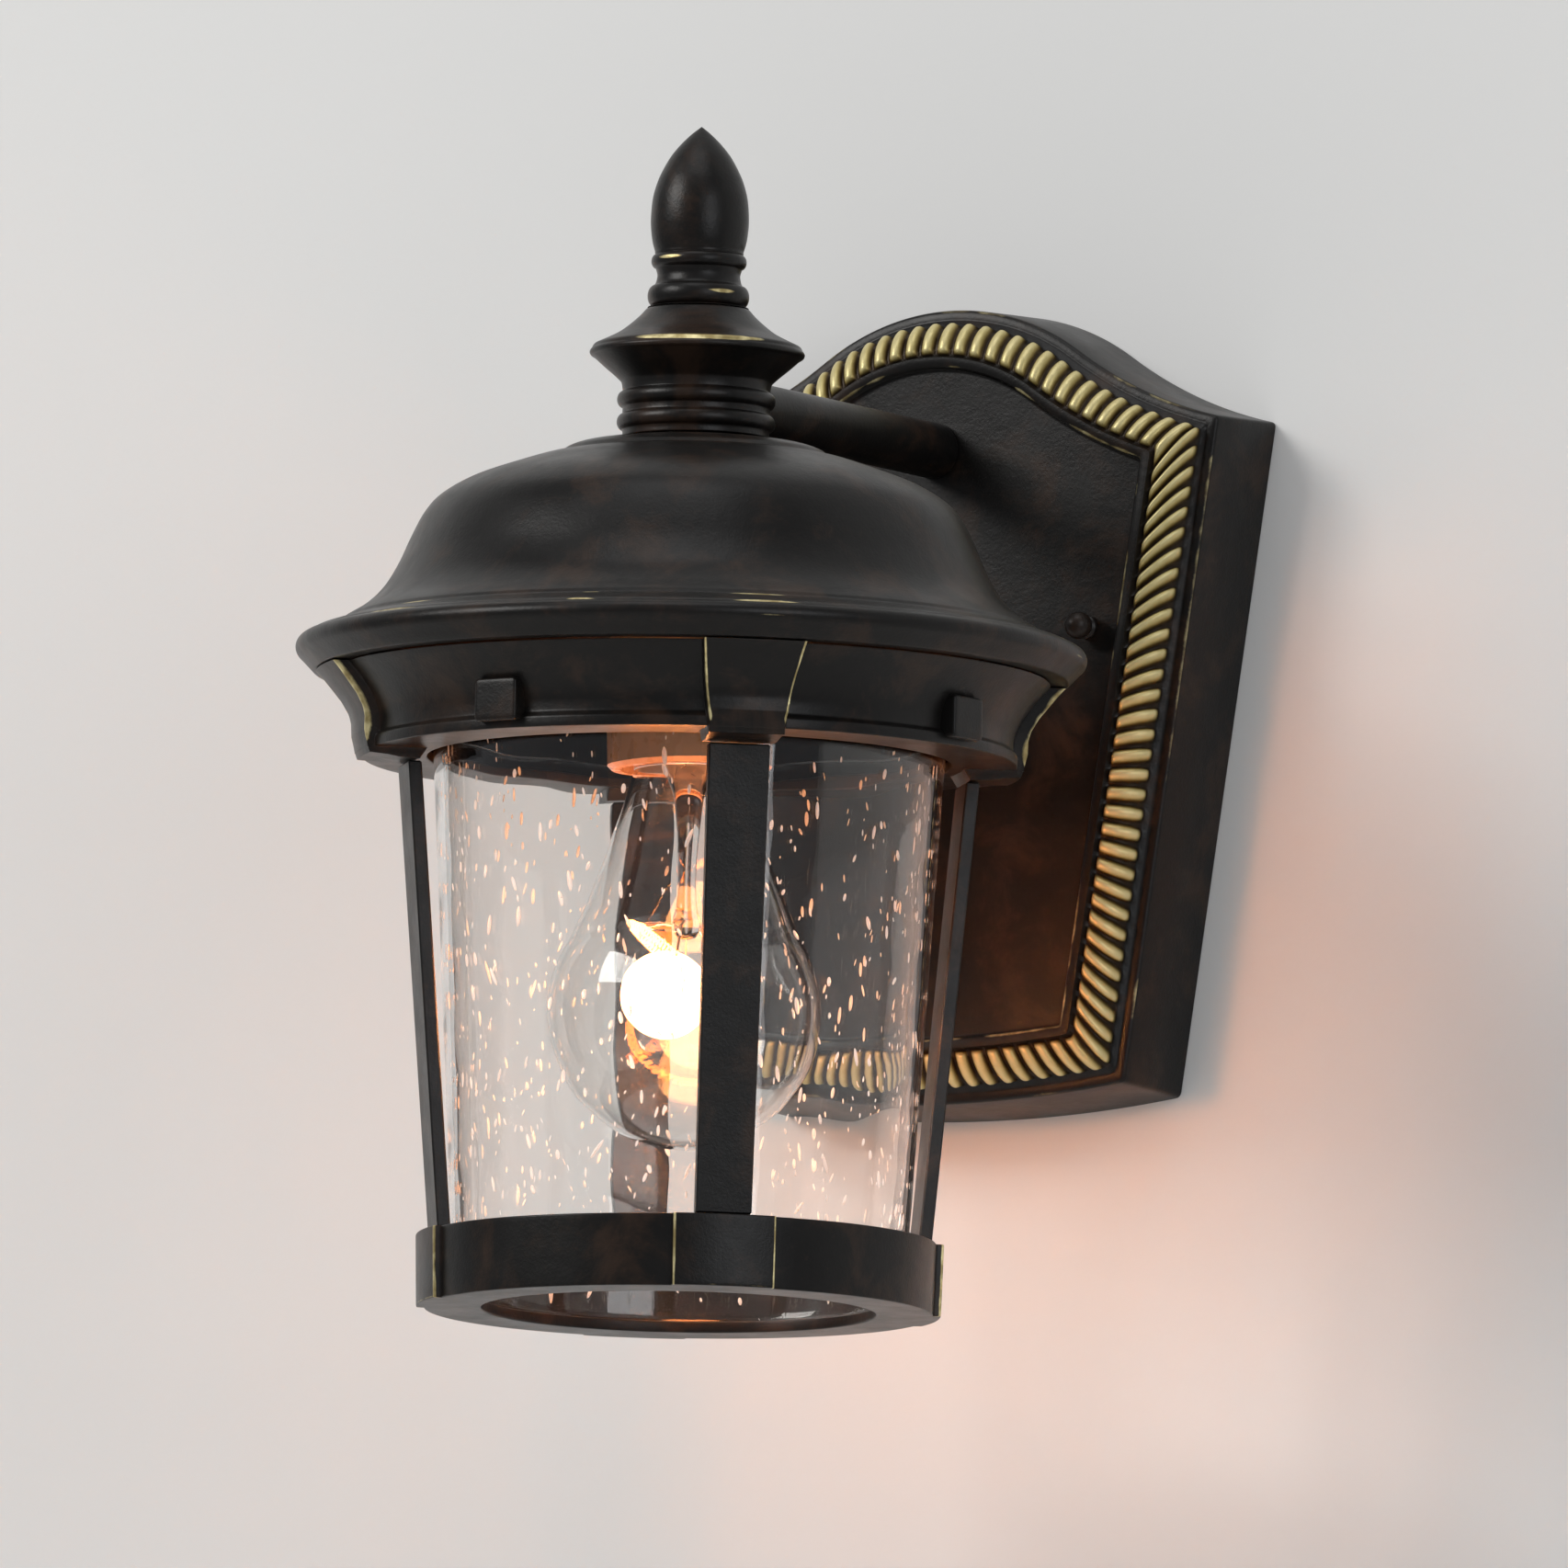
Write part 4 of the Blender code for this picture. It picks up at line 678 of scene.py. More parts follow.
roof = {
    "wall": 2.2 * mm, "top": 192.5 * mm, "hole": 5.1 * mm, "hubFoot": 16.8 * mm, "lipFoot": 140.0 * mm,
    "lipFootRadius": 82.9 * mm, "lipPoints": 16, "lugRadius": 4.0 * mm, "lugPlace": 68.0 * mm,
    "lugTop": 151.7 * mm, "lugHole": 2.0 * mm, "lugHoleTop": 149.1 * mm,
    # radii and heights in mm from the step at the hub, over the dome and brim, to the lip
    "step": [(22.3, 191.8), (26.0, 191.1), (28.4, 190.2), (29.3, 189.4)], "stepFoot": [(29.6, 188.95)],
    "dome": [(30.2, 188.85), (34.0, 188.15), (40.4, 186.1), (49.5, 182.75), (56.0, 178.9), (59.4, 175.0),
             (62.2, 169.5), (64.8, 163.6), (68.1, 158.1), (72.1, 154.1), (77.0, 151.0)],
    "crease": [(77.4, 150.3), (78.0, 149.95)], "brim": [(78.0, 149.95), (81.4, 149.0), (84.2, 148.1)],
    "lip": [(84.45, 147.8)], "rollCentre": (84.7 * mm, 145.2 * mm), "rollRadii": (2.3 * mm, 2.4 * mm),
    # gold on the brim's edges, partly painted glints along the lip's highlight, as radius, height and amount,
    # in short stretches, as direction and spread
    "goldEdges": [(78.0, 150.0, 0.75), (84.5, 147.8, 0.98), (86.9, 144.6, 0.45)], "goldReach": 0.55 * mm,
    "goldStretches": [(-0.86, 0.10), (-1.33, 0.05), (0.35, 0.14), (1.9, 0.12), (3.4, 0.16), (4.35, 0.10)],
}


def roofOutline():
    # smooth curves for step, dome and brim, then an arc for the lip's roll, down to its foot
    r = roof
    top = [(r["hole"], r["top"]), (r["hubFoot"], r["top"]), (r["step"][0][0] * mm, r["top"] - 0.9 * mm)]
    step, dome, brim = (curveThrough(inMm(r[key]), steps)
                        for key, steps in (("step", 8), ("dome", 10), ("brim", 6)))
    roll = arcPoints(r["rollCentre"], r["rollRadii"], 95, -60, 12)
    return np.vstack([top, step[1:], inMm(r["stepFoot"]), dome, inMm(r["crease"]), brim[1:], inMm(r["lip"]),
                      roll, [(r["lipFootRadius"], r["lipFoot"])]])


def makeRoof():
    # the outline turned round the axis with a wall under it, and four lugs for the cage's screws
    r = roof
    outer = roofOutline()
    inner = moveInward(outer[:-r["lipPoints"]], r["wall"])
    inner[:, 0] = np.maximum(inner[:, 0], r["hole"])
    inner[0] = (r["hole"], r["top"] - r["wall"])
    inner = inner[inner[:, 1] > r["lipFoot"] + 8 * mm]
    loop = np.vstack([outer, [(r["lipFootRadius"] - 2.2 * r["wall"], r["lipFoot"])], inner[::-1]])
    rows, columns = 210, 200
    profile = softProfile(loop, 0.35 * mm, rows, closed=True, crowd=1.4)
    stretches = patchesRound(anglesRound(columns), r["goldStretches"])
    rub = goldNear(profile, r["goldEdges"], r["goldReach"]) * stretches
    surfaces = [(turnOnAxis(profile, columns), True, {"rub": rub})]
    lug = np.array([(0, r["lugTop"]), (r["lugRadius"], r["lugTop"]), (r["lugRadius"], r["lipFoot"]),
                    (r["lugHole"], r["lipFoot"]), (r["lugHole"], r["lugHoleTop"]), (0, r["lugHoleTop"])])
    lug = softProfile(lug, 0.2 * mm, 40) + [0, footZ]
    for number in range(4):
        surfaces.append((turnProfile(lug, 28, onCircle(r["lugPlace"], postAngle(number))), False, {}))
    return makePiece("roof_dome", surfaces, bronze, "lantern", ["roof"])


hub = {
    # radii and heights in mm of the cone on top, its rim, the flare under it, the neck's grooves and the bore
    "cone": [(11.4, 221.4), (12.7, 219.9), (14.9, 217.9), (17.4, 216.0), (20.3, 214.5), (22.7, 213.4)],
    "rim": [(23.1, 212.9)], "under": [(22.9, 210.9), (20.6, 208.8), (18.4, 206.95), (16.6, 205.3)],
    "edgeCentre": (22.5 * mm, 211.7 * mm), "edgeRadii": (1.2 * mm, 0.95 * mm),
    "grooves": [[(16.4, 204.6)], [(16.2, 198.9)], [(16.1, 193.9), (16.2, 192.9)]],
    "beads": [(17.45, 16.2, 201.3, 1.7), (17.45, 16.25, 196.3, 1.7)],
    "bore": [(4.95, 192.9), (4.95, 197.0), (5.6, 197.0), (5.6, 209.0), (2.55, 209.0), (2.55, 221.4)],
    # gold on the rim's upper edge, partly a painted highlight: radius, height and amount, then direction and
    # spread
    "goldEdges": [(22.9, 213.0, 1.0)], "goldReach": 0.75 * mm,
    "goldStretches": [(-0.95, 0.72), (0.9, 0.5), (2.6, 0.8)],
}


def makeHub():
    # cone, rim, flare and a neck of two beads, turned round the axis with a stepped bore
    h = hub
    grooves = [inMm(points) for points in h["grooves"]]
    beads = [bead(*inMm(sizes)) for sizes in h["beads"]]
    corners = np.vstack([curveThrough(inMm(h["cone"]), 8), inMm(h["rim"]),
                         arcPoints(h["edgeCentre"], h["edgeRadii"], 60, -60, 8),
                         curveThrough(inMm(h["under"]), 6), grooves[0], beads[0], grooves[1], beads[1],
                         grooves[2], inMm(h["bore"])])
    columns = 144
    profile = softProfile(corners, 0.22 * mm, 190, closed=True, crowd=1.2)
    stretches = patchesRound(anglesRound(columns), h["goldStretches"], 4)
    rub = goldNear(profile, h["goldEdges"], h["goldReach"]) * stretches
    surfaces = [(turnOnAxis(profile, columns), True, {"rub": rub})]
    return makePiece("hub_casting", surfaces, bronze, "lantern", ["hub"])


finial = {
    # radii and heights in mm of the acorn, the crease under it, the waist between two beads, foot and bore
    "belly": [(0.0, 262.0), (1.9, 260.5), (3.75, 258.75), (5.4, 256.9), (6.8, 255.0), (8.35, 252.2),
              (9.5, 249.5), (10.45, 245.9), (10.8, 241.5), (10.65, 238.5), (10.3, 236.2), (9.95, 234.9)],
    "crease": [(9.7, 234.2), (9.8, 233.7)], "waist": [(9.45, 230.3), (9.1, 228.9), (9.4, 227.2)],
    "beads": [(10.5, 9.5, 232.0, 1.5), (11.2, 9.8, 224.3, 2.3)], "foot": [(10.9, 221.9), (11.3, 221.7)],
    "bore": [(2.55, 221.7), (2.55, 230.0), (0, 230.0)], "goldReach": 0.5 * mm,
    # gold on the crease and beads, partly painted glints, as radius, height and amount, then direction and
    # spread
    "gold": [((10.0, 234.9, 0.5), (-1.05, 1.2)), ((10.5, 232.3, 1.0), (-1.75, 0.42)),
             ((11.2, 224.7, 1.0), (-0.55, 0.36)), ((11.2, 224.7, 0.9), (2.3, 0.5))],
}


def makeFinial():
    # an acorn on two beads, turned round the axis
    f = finial
    upper, lower = (bead(*inMm(sizes)) for sizes in f["beads"])
    corners = np.vstack([curveThrough(inMm(f["belly"]), 8), inMm(f["crease"]), upper,
                         curveThrough(inMm(f["waist"]), 6), lower, inMm(f["foot"]), inMm(f["bore"])])
    profile = closePoles(softProfile(corners, 0.2 * mm, 170, crowd=1.2))
    angle = anglesRound(128)
    rub = np.maximum.reduce([goldNear(profile, [edge], f["goldReach"]) * patchesRound(angle, [stretch])
                             for edge, stretch in f["gold"]])
    surfaces = [(turnOnAxis(profile, len(angle)), False, {"rub": rub})]
    return makePiece("finial_acorn", surfaces, bronze, "finial", ["finial"])


makeRoof()
makeHub()
makeFinial()
print("roof, hub and finial made")


collar = {
    "top": 139.7 * mm, "coveTop": 79.2 * mm, "coveFoot": 71.1 * mm, "foot": 124.0 * mm, "lip": 72.1 * mm,
    "plinth": 3.0 * mm, "power": 1.6, "lipFoot": 121.4 * mm, "wall": 2.6 * mm, "floor": 2.4 * mm,
    "opening": 57.6 * mm, "bandTop": 23.0 * mm, "bandFoot": 17.2 * mm,
    "bandInner": 60.0 * mm, "bandFrom": (70.2 * mm, 70.9 * mm), "crowdAt": 76 * mm,
    "bossWidth": 11.0 * mm, "bossHeight": 9.4 * mm, "bossOut": 3.6 * mm,
    "bossDrop": 1.1 * mm,
    # a band's outer side, as radii and heights, and its underside, as heights and radii
    "bandSide": ([71.6, 73.6, 74.4, 74.5, 75.0, 76.7, 78.3, 81.0, 82.5],
                 [120.2, 121.6, 124.9, 127.9, 129.9, 132.8, 134.8, 138.1, 139.7]),
    "bandUnder": ([119.0, 119.2, 120.0, 121.2], [60.0, 66.3, 71.0, 72.1]),
}


def bandMask(angle, radius, width, soften):
    # 1 within half the width of a post's direction, measured round the axis; also the distance to the edge
    nearest = np.full(angle.shape, 9.0)
    for number in range(4):
        nearest = np.minimum(nearest, np.abs(angleFrom(angle, postAngle(number))))
    away = nearest * radius - width / 2
    return 1 - smoothStep(-soften, soften, away), away


def packedAngles(columns, halfAngle, spread):
    # angles round the axis that crowd where the four bands end; each crowd is a bell of the given spread
    fine = np.linspace(0, tau, 20000, endpoint=False)
    weight, closer = np.ones(fine.shape), 14
    for number in range(4):
        for side in (-1, 1):
            weight += closer * patchesRound(fine, [(postAngle(number) + side * halfAngle, spread)])
    run = np.append(0, np.cumsum(weight))
    return np.interp(np.arange(columns) / columns * run[-1], run, np.append(fine, tau))


def makeCollar():
    # a turned cove, pushed out at each post by a band that follows its own curve, with a boss between bands
    c = collar
    width, height = c["coveTop"] - c["coveFoot"], c["top"] - c["foot"] - c["plinth"]
    # cove: radius = foot + width * t^power, above an upright plinth
    t = np.linspace(1, 0, 24)
    cove = np.column_stack([c["coveFoot"] + width * t ** c["power"], c["foot"] + c["plinth"] + height * t])
    cove = np.vstack([cove, [(c["coveFoot"], c["foot"] + 0.8 * mm)]])
    outer = np.vstack([cove, [(c["lip"], c["foot"] - 0.3 * mm), (c["lip"], c["lipFoot"])]])
    floorTop = c["lipFoot"] + c["floor"]
    innerWall = cove[cove[:, 1] > floorTop + 1 * mm] - [c["wall"], 0]
    loop = np.vstack([outer, [(c["bandInner"], c["lipFoot"]), (c["opening"], c["lipFoot"]),
                              (c["opening"], floorTop), (innerWall[-1, 0] - 0.4 * mm, floorTop)],
                      innerWall[::-1], [(c["coveTop"] - c["wall"], c["top"])]])
    rows, columns = 120, 560
    profile = softProfile(loop, 0.28 * mm, rows, closed=True, crowd=1.6)
    r, z = profile[:, 0, None], profile[:, 1, None]
    angle = packedAngles(columns, 0.5 * (c["bandTop"] + c["bandFoot"]) / 2 / c["crowdAt"], 0.018)[None, :]
    rise = np.clip((z - c["lipFoot"]) / (c["top"] - c["lipFoot"]), 0, 1)
    bandWidth = c["bandFoot"] + (c["bandTop"] - c["bandFoot"]) * rise ** 1.3
    mask, away = bandMask(angle + 0 * z, r + 1.6 * mm, bandWidth, 0.32 * mm)
    index = np.arange(rows)[:, None]
    outside = (index < np.argmin(np.abs(profile[:, 0] - c["bandInner"])
                                 + 10 * (np.abs(profile[:, 1] - c["lipFoot"]) > 0.6 * mm))).astype(float)
    sideRadii, sideHeights = np.array(c["bandSide"]) * mm
    underHeights, underRadii = np.array(c["bandUnder"]) * mm
    push = mask * outside * (np.interp(z, sideHeights, sideRadii) - r) * smoothStep(*c["bandFrom"], r)
    drop = mask * outside * (c["lipFoot"] - np.interp(r, underRadii, underHeights))
    drop = drop * (1 - smoothStep(c["lipFoot"] + 0.2 * mm, c["lipFoot"] + 1.2 * mm, z))
    drop = drop * smoothStep(c["bandInner"] - 0.6 * mm, c["bandInner"] + 0.1 * mm, r)
    # gold just inside the edges of the bands
    rub = np.exp(-((away + 0.42 * mm) / (0.38 * mm)) ** 2) * outside
    rub = rub * smoothStep(c["foot"] - 3 * mm, c["foot"], z)
    surfaces = [(roundAxis(r + push, angle, footZ + z - drop), True, {"rub": rub})]
    reachOut = c["coveFoot"] + c["bossOut"]
    for number in range(4):
        turn = postAngle(number) + math.pi / 4
        half = (0.5 * (reachOut - c["coveFoot"] + 3 * mm), 0.5 * c["bossWidth"], 0.5 * c["bossHeight"])
        spot = (*onCircle(reachOut - half[0], turn), footZ + c["foot"] - c["bossDrop"] + half[2])
        surfaces.append((roundedBlock(spot, half, turn, 0.16), False, {}))
    return makePiece("collar_ring", surfaces, bronze, "lantern", ["collar"], 40)


ringShape = {
    "height": 15.9 * mm, "radius": 56.4 * mm, "footRadius": 56.0 * mm, "wall": 5.0 * mm, "floor": 2.5 * mm,
    "opening": 43.3 * mm, "padOut": 1.6 * mm, "padWidth": 22.7 * mm, "crowdAt": 58 * mm,
}


def makeBottomRing():
    # a turned channel pushed out by a pad at each post
    b = ringShape
    inner = b["radius"] - b["wall"]
    loop = [(inner, b["height"]), (b["radius"], b["height"]), (b["footRadius"], 0), (b["opening"], 0),
            (b["opening"], b["floor"]), (inner - 0.4 * mm, b["floor"])]
    rows, columns = 96, 560
    profile = softProfile(loop, 0.28 * mm, rows, closed=True, crowd=1.6)
    r, z = profile[:, 0, None], profile[:, 1, None]
    angle = packedAngles(columns, b["padWidth"] / 2 / b["crowdAt"], 0.02)[None, :]
    mask, away = bandMask(angle + 0 * z, b["radius"] + 0 * z, b["padWidth"], 0.30 * mm)
    outer = smoothStep(b["footRadius"] - 2.2 * mm, b["footRadius"] - 0.3 * mm, r)
    push = b["padOut"] * mask * outer
    upright = smoothStep(b["footRadius"] - 1.2 * mm, b["footRadius"] - 0.4 * mm, r)
    rub = np.exp(-((away + 0.38 * mm) / (0.32 * mm)) ** 2) * upright
    rub = np.maximum(rub, 0.42 * np.exp(-((z - 0.3 * mm) / (0.5 * mm)) ** 2) * upright * mask)
    surfaces = [(roundAxis(r + push, angle, footZ + z), True, {"rub": rub})]
    return makePiece("bottom_rim", surfaces, bronze, "lantern", ["bottom_ring"], 40)


makeCollar()
makeBottomRing()
print("collar and bottom ring made")


shade = {
    "foot": 2.8 * mm, "top": 127.0 * mm, "footRadius": 49.5 * mm, "topRadius": 56.5 * mm, "wall": 2.6 * mm,
    "ripple": 0.05 * mm, "seeds": 1050, "seedRadius": (0.18 * mm, 0.58 * mm), "seedStretch": (1.6, 4.2),
    "seedLean": 0.22, "randomSeed": 11,
    # waves of the glass: turns round, radians per metre of height, shift on the outer face, share
    "waves": [(7, 420, 0, 0.5), (11, -250, 2, 0.35), (3, 610, 3, 0.3)],
}


def shadeRadius(height):
    # straight from the foot's radius to the top's
    s = shade
    widens = s["topRadius"] - s["footRadius"]
    return s["footRadius"] + widens * (height - s["foot"]) / (s["top"] - s["foot"])


def makeShade():
    # a tapered wall, its radius rippled by a few sines of the height and the angle, unlike on its two faces
    s = shade
    loop = [(shadeRadius(s["top"]) - s["wall"], s["top"]), (shadeRadius(s["top"]), s["top"]),
            (shadeRadius(s["foot"]), s["foot"]), (shadeRadius(s["foot"]) - s["wall"], s["foot"])]
    rows, columns = 130, 220
    profile = softProfile(loop, 0.7 * mm, rows, closed=True, crowd=0.35)
    r, z = profile[:, 0, None], profile[:, 1, None]
    a = anglesRound(columns)[None, :]
    outside = np.where(r > shadeRadius(z) - s["wall"] / 2, 1.0, 0.0)
    wave = sum(np.sin(turns * a + rise * z + shift * outside) * share
               for turns, rise, shift, share in s["waves"])
    grid = roundAxis(r + s["ripple"] * wave, a, footZ + z)
    piece = makePiece("glass_shade_seeded", [(grid, True, {})], shadeGlass, "lantern",
                      ["glass_shade"])
    piece.visible_shadow = False


def makeSeeds():
    # drawn-out bubbles in the middle of the wall: small balls stretched upwards and leaned a little
    s = shade
    draw = np.random.default_rng(s["randomSeed"])
    count = s["seeds"]
    height = draw.uniform(s["foot"] + 4 * mm, s["top"] - 3 * mm, count)
    angle = draw.uniform(0, tau, count)
    size = s["seedRadius"][0] + (s["seedRadius"][1] - s["seedRadius"][0]) * draw.random(count) ** 2.2
    long = size * draw.uniform(*s["seedStretch"], count)
    lean = draw.normal(0, s["seedLean"], count)
    rows, columns = 7, 8
    v = np.linspace(math.pi / 2, -math.pi / 2, rows)[:, None]
    u = anglesRound(columns)[None, :]
    ballX, ballY, ballZ = np.cos(v) * np.cos(u), np.cos(v) * np.sin(u), np.sin(v) + 0 * u
    ballX[[0, -1]] = ballY[[0, -1]] = 0
    surfaces = []
    for k in range(count):
        middle = shadeRadius(height[k]) - s["wall"] / 2
        deep = min(size[k], 0.42 * s["wall"])
        outward = middle + deep * ballX
        along = size[k] * ballY + lean[k] * long[k] * ballZ
        c, d = math.cos(angle[k]), math.sin(angle[k])
        surfaces.append((np.stack([axisX + outward * c - along * d, axisY + outward * d + along * c,
                                   footZ + height[k] + long[k] * ballZ], -1), False, {}))
    piece = makePiece("glass_seeds", surfaces, seedPaintedSheen, "lantern")
    piece.visible_shadow = False


makeShade()
makeSeeds()
print("shade and seeds made")


bulb = {
    "bottom": 36 * mm, "radius": 30.1 * mm, "length": 110 * mm, "neck": 12.0 * mm, "wall": 0.7 * mm,
    "base": 13.1 * mm, "baseLength": 22 * mm, "tip": 4.4 * mm, "pitch": 3.63 * mm, "threadDepth": 0.9 * mm,
    "filamentHeight": 70 * mm, "coilRadius": 0.75 * mm, "coilPitch": 0.9 * mm, "wire": 0.22 * mm,
    "bow": 12 * mm, "coilLift": 6 * mm, "coilLean": 9 * mm, "leanToward": -150, "stemAbove": 12 * mm,
    "contactHole": 6.6 * mm, "baseWall": 0.6 * mm, "leadWire": 0.32 * mm, "supportWire": 0.16 * mm,
}
baseTop = bulb["bottom"] + bulb["length"] - bulb["tip"]
baseFoot = baseTop - bulb["baseLength"]


def makeBulbGlass():
    # a ball's arc flared up into the neck, with a thin wall, turned round the axis
    b = bulb
    centre = b["bottom"] + b["radius"]
    neckTop = baseFoot + 3.5 * mm
    ball = arcPoints((0, centre), (b["radius"], b["radius"]), 33, -90, 40)
    shoulder = ball[0]
    rise = neckTop - shoulder[1]
    flare = curveThrough([(b["neck"], neckTop), (b["neck"], baseFoot),
                          (b["neck"] + 3.4 * mm, shoulder[1] + rise * 0.62),
                          (b["neck"] + 8.2 * mm, shoulder[1] + rise * 0.30), tuple(shoulder)], 10)
    outer = np.vstack([flare, ball[1:]])
    outer[-1, 0] = 0
    inner = moveInward(outer, b["wall"])
    inner[-1] = (0, outer[-1, 1] + b["wall"])
    inner[0, 1] = outer[0, 1]
    profile = closePoles(softProfile(np.vstack([inner[::-1], outer]), 0.15 * mm, 190, crowd=0.5))
    surfaces = [(turnOnAxis(profile, 96), False, {})]
    piece = makePiece("bulb_envelope", surfaces, bulbClear, "bulb", ["bulb_glass"])
    piece.visible_shadow = False


def makeBulbBase():
    # a thin cup turned round the axis, its side raised into a rounded thread
    b = bulb
    r = b["base"] - b["threadDepth"]
    loop = [(b["contactHole"], baseTop), (b["base"] - 3.4 * mm, baseTop), (r, baseTop - 2.6 * mm),
            (r, baseFoot), (r - b["baseWall"], baseFoot), (r - b["baseWall"], baseTop - 3.0 * mm),
            (b["base"] - 3.6 * mm, baseTop - 0.8 * mm), (b["contactHole"], baseTop - 0.8 * mm)]
    profile = softProfile(loop, 0.2 * mm, 150, closed=True, crowd=0.4)
    grid = turnOnAxis(profile, 72)
    cutThread(grid, profile, b["pitch"], b["threadDepth"], baseFoot + 2.5 * mm, baseTop - 3 * mm,
              profile[:, 0, None] > r - 0.9 * mm)
    makePiece("bulb_screw_base", [(grid, True, {})], aluminium, "bulb", ["bulb_base"])


def makeStem():
    # a glass stem that narrows from the base to a small bead, turned round the axis
    low = bulb["filamentHeight"] + bulb["stemAbove"]
    top = baseTop - 5 * mm
    outline = curveThrough([(5.2 * mm, top), (5.6 * mm, baseFoot + 2 * mm), (3.0 * mm, baseFoot - 8 * mm),
                            (2.1 * mm, low + 10 * mm), (3.2 * mm, low + 3.5 * mm),
                            (2.2 * mm, low + 0.6 * mm)], 8)
    profile = closePoles(softProfile(np.vstack([[(0, top)], outline, [(0, low)]]), 0.25 * mm, 70))
    surfaces = [(turnOnAxis(profile, 40), False, {})]
    piece = makePiece("bulb_glass_stem", surfaces, bulbClear, "bulb", ["bulb_stem"])
    piece.visible_shadow = False


def makeCoil():
    # a coil carried along a leaning horseshoe: the wire circles the path once for each pitch of its length
    b = bulb
    level = footZ + b["filamentHeight"]
    a = np.radians(np.linspace(-70, -290, 40))
    dip = b["coilLift"] + b["coilLean"] * np.cos(a - math.radians(b["leanToward"]))
    horseshoe = roundAxis(b["bow"], a, level + dip)
    path = curveThrough(horseshoe, 24)
    run = lengthAlong(path)
    s = np.linspace(0, run[-1], int(run[-1] / b["coilPitch"] * 12))
    middle = resample(s, run, path)
    way = np.gradient(middle, axis=0)
    way /= np.linalg.norm(way, axis=1)[:, None]
    across = np.cross(way, (0, 0, 1))
    across /= np.linalg.norm(across, axis=1)[:, None]
    up = np.cross(across, way)
    phase = tau * s / b["coilPitch"]
    wire = middle + b["coilRadius"] * (np.cos(phase)[:, None] * across + np.sin(phase)[:, None] * up)
    heat = np.concatenate([[0.6], 0.75 + 0.25 * np.sin(np.linspace(0, math.pi, len(wire))), [0.6]])
    surfaces = [(tubeAlong(wire, b["wire"], 6), False, {"heat": heat[:, None]})]
    makePiece("bulb_coil", surfaces, tungsten, "bulb", ["bulb_filament"])
    # two leads to its ends and three hooks that hold it, all from the stem's bead
    wires = []
    top = level + 16 * mm
    for end in (path[0], path[-1]):
        root = np.array([axisX + (end[0] - axisX) * 0.22, axisY + (end[1] - axisY) * 0.22, top])
        bent = [root, root * 0.6 + end * 0.4 + [0, 0, 1.5 * mm], end]
        wires.append((tubeAlong(curveThrough(bent, 8), b["leadWire"], 8), False, {}))
    for hook in horseshoe[[10, 20, 30]]:
        root = np.array([axisX, axisY, top - 3 * mm]) + 0.1 * (hook - [axisX, axisY, level])
        bent = [root, root * 0.5 + hook * 0.5 + [0, 0, 1 * mm], hook]
        wires.append((tubeAlong(curveThrough(bent, 6), b["supportWire"], 6), False, {}))
    makePiece("bulb_support_wires", wires, zinc, "bulb")


makeBulbGlass()
makeBulbBase()
makeStem()
makeCoil()
print("bulb made")


arm = {"bore": 3.7 * mm, "thread": 4.8 * mm, "pitch": 1.0 * mm, "threadDepth": 0.25 * mm}


def makeArm():
    # a tube from the hub to the plate, then a thread of smaller radius through it
    low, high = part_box("arm")
    radius, middle = 0.5 * (high.x - low.x), 0.5 * (high.z + low.z)
    panel = plate["depth"] + plate["bandRise"] - plate["panelDrop"]
    bore, thread, shoulder = arm["bore"], arm["thread"], panel + 0.3 * mm
    corners = [(bore, -low.y), (radius, -low.y), (radius, shoulder), (thread, shoulder), (thread, -high.y),
               (bore, -high.y)]
    profile = softProfile(corners, 0.3 * mm, 260, closed=True, crowd=0.3)
    grid = turnProfile(profile, 96)
    cutThread(grid, profile, arm["pitch"], arm["threadDepth"], -high.y + 0.3 * mm, panel - 0.5 * mm,
              (profile[:, 0, None] > thread - 0.6 * mm) & (profile[:, 1, None] < panel), -1)
    makePiece("arm_tube", [(alongWall(grid, 0, middle), True, {})], bronze, "lantern", ["arm"])


capNut = {"ball": 3.06 * mm, "neck": 2.25 * mm, "neckHeight": 1.6 * mm, "bore": 1.9 * mm}


def makeCapNut(label):
    # a ball on a short neck with a blind bore, turned and laid along the stud
    node = "cap_nut_" + label
    low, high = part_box(node)
    x, z = 0.5 * (low.x + high.x), 0.5 * (low.z + high.z)
    ball, neck, neckHeight, bore = (capNut[key] for key in ("ball", "neck", "neckHeight", "bore"))
    centre = neckHeight + ball * 0.75
    start = -math.degrees(math.asin((centre - neckHeight) / ball))
    corners = np.vstack([arcPoints((0, centre), (ball, ball), 90, start, 40),
                         [(neck - 0.5 * mm, neckHeight - 0.1 * mm), (neck + 0.4 * mm, 0.8 * mm),
                          (neck + 0.4 * mm, 0), (bore, 0), (bore, neckHeight + ball * 0.6),
                          (0, neckHeight + ball * 0.6)]])
    profile = closePoles(softProfile(corners, 0.18 * mm, 90)) + [0, -high.y]
    grid = alongWall(turnProfile(profile, 56), x, z)
    makePiece("ball_nut_" + label, [(grid, False, {})], bronze, node, [node])


makeArm()
makeCapNut("left")
makeCapNut("right")

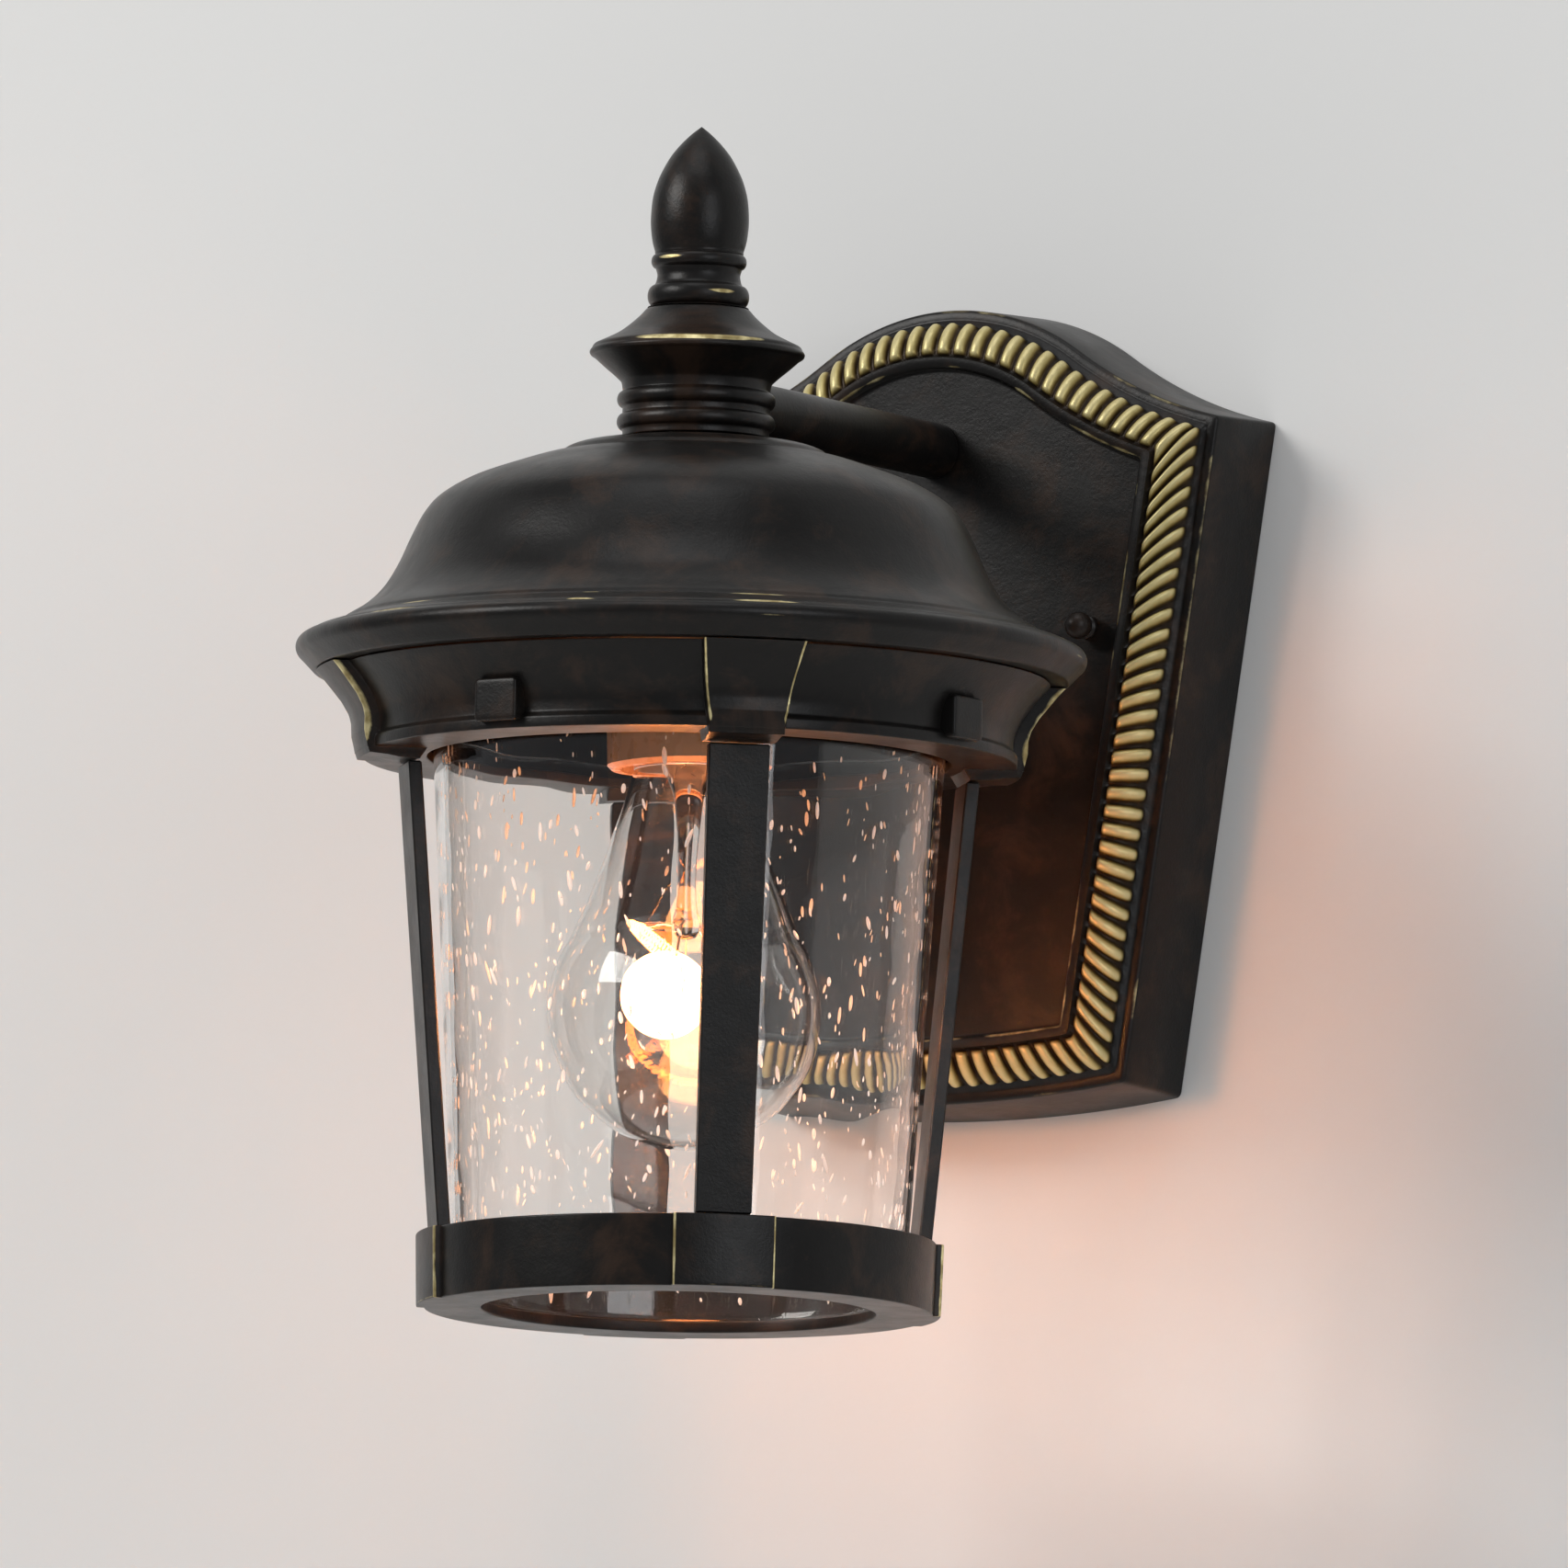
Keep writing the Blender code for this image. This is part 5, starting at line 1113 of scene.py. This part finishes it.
cadFinishes = {
    "zinc_steel": (zinc, ["arm_locknut", "arm_washer", "crossbar", "finial_stud", "mounting_stud_left",
                          "mounting_stud_right", "roof_nut", "roof_washer", "socket_cap", "stud_nut_left",
                          "stud_nut_right", "threaded_tube"]),
    "bronze": (bronze, [kind + str(k) for kind in ("post_", "cage_screw_") for k in (1, 2, 3, 4)]),
    "green_zinc": (greenZinc, ["ground_screw"]),
    "brass": (brass, ["bulb_contact", "socket_shell", "socket_contact"]),
    "porcelain": (porcelain, ["socket_body"]),
    "black_glass": (blackGlass, ["bulb_insulator"]),
    "black_sleeve": (blackSleeve, ["lead_black"]),
    "white_sleeve": (whiteSleeve, ["lead_white"]),
}
for slotName, (material, names) in cadFinishes.items():
    for name in names:
        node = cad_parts[name]
        node.data.materials.clear()
        node.data.materials.append(material)
print("finishes given to the frame's own nodes")


room = {"wall": (0.78, 0.78, 0.77), "floor": (0.80, 0.79, 0.77), "floorDrop": 1150 * mm, "size": 3.0,
        "wallGap": 0.4 * mm, "boxOpening": (-42 * mm, 42 * mm, -92 * mm, 52 * mm)}


def makeSheet(name, outer, colour, opening=()):
    # a flat sheet, see-through from behind; opening gives the corners of a hole, in the same order as its own
    made = Finish(name, Roughness=0.9, Specular_IOR_Level=0.2)
    made.feed(Base_Color=made.mix(made.noise(3.0, 4), colour, tuple(c * 0.97 for c in colour)))
    made.bump(made.noise(500, 3), 0.05 * mm, 0.3)
    behind = made.add("ShaderNodeNewGeometry", {}, {}, "Backfacing")
    clear = made.add("ShaderNodeBsdfTransparent", {}, {})
    both = made.add("ShaderNodeMixShader", {}, {0: behind, 1: Wire(made, made.shader.outputs[0]), 2: clear})
    made.tree.links.new(both.socket, made.outlet.inputs["Surface"])
    faces = [(k, (k + 1) % 4, (k + 1) % 4 + 4, k + 4) for k in range(4)] if opening else [(0, 1, 2, 3)]
    mesh = bpy.data.meshes.new(name)
    mesh.from_pydata(list(outer) + list(opening), [], faces)
    sheet = bpy.data.objects.new(name, mesh)
    sheet.data.materials.append(made.material)
    bpy.context.scene.collection.objects.link(sheet)


def rectangleAtWall(y, left, right, low, high):
    # four corners at one distance from the wall, counter-clockwise as seen from the room
    return [(left, y, low), (right, y, low), (right, y, high), (left, y, high)]


# the wall is open behind the plate, as it is at an outlet box
size, floorZ = room["size"], footZ - room["floorDrop"]
makeSheet("wall", rectangleAtWall(room["wallGap"], -size, size, floorZ, size), room["wall"],
          rectangleAtWall(room["wallGap"], *room["boxOpening"]))
makeSheet("floor", [(x * size, y * size, floorZ) for x, y in ((-1, -1), (1, -1), (1, 1), (-1, 1))],
          room["floor"])


# soft lights: where each stands, its width and height in metres, its power in watts and its colour
softLights = {
    "key": ((-1.5, -2.2, 1.3), (1.4, 1.1), 47, (1.0, 0.985, 0.96)),
    "fill": ((2.2, -1.6, 0.5), (1.2, 1.4), 15, (0.95, 0.97, 1.0)),
    "top": ((0.2, -1.0, 2.2), (1.6, 1.2), 12, (1, 1, 1)),
}
glow = {"power": 0.20, "colour": (1.0, 0.36, 0.11), "radius": 10.5 * mm, "aside": -3.8 * mm,
        "forward": -2.2 * mm}
sky = {"colour": (0.93, 0.95, 1.0, 1.0), "strength": 0.24}


def makeLamp(name, kind, power, colour, location):
    # a light of one kind, put in its place
    light = bpy.data.lights.new(name, kind)
    light.energy, light.color = power, colour
    lamp = bpy.data.objects.new(name, light)
    lamp.location = location
    bpy.context.scene.collection.objects.link(lamp)
    return lamp


for name, (location, across, power, colour) in softLights.items():
    lamp = makeLamp(name, "AREA", power, colour, location)
    lamp.data.shape = "RECTANGLE"
    lamp.data.size, lamp.data.size_y = across
    lamp.rotation_mode = "QUATERNION"
    lamp.rotation_quaternion = (Vector((0, axisY, 0)) - Vector(location)).to_track_quat("-Z", "Y")
bulbLight = makeLamp("bulb_light", "POINT", glow["power"], glow["colour"],
                     (axisX + glow["aside"], axisY + glow["forward"], footZ + bulb["filamentHeight"]))
bulbLight.data.shadow_soft_size = glow["radius"]

world = bpy.data.worlds.new("studio")
bpy.context.scene.world = world
world.use_nodes = True
background = world.node_tree.nodes["Background"]
background.inputs["Color"].default_value = sky["colour"]
background.inputs["Strength"].default_value = sky["strength"]
bpy.context.scene.view_settings.view_transform = "Standard"
print("room lit")
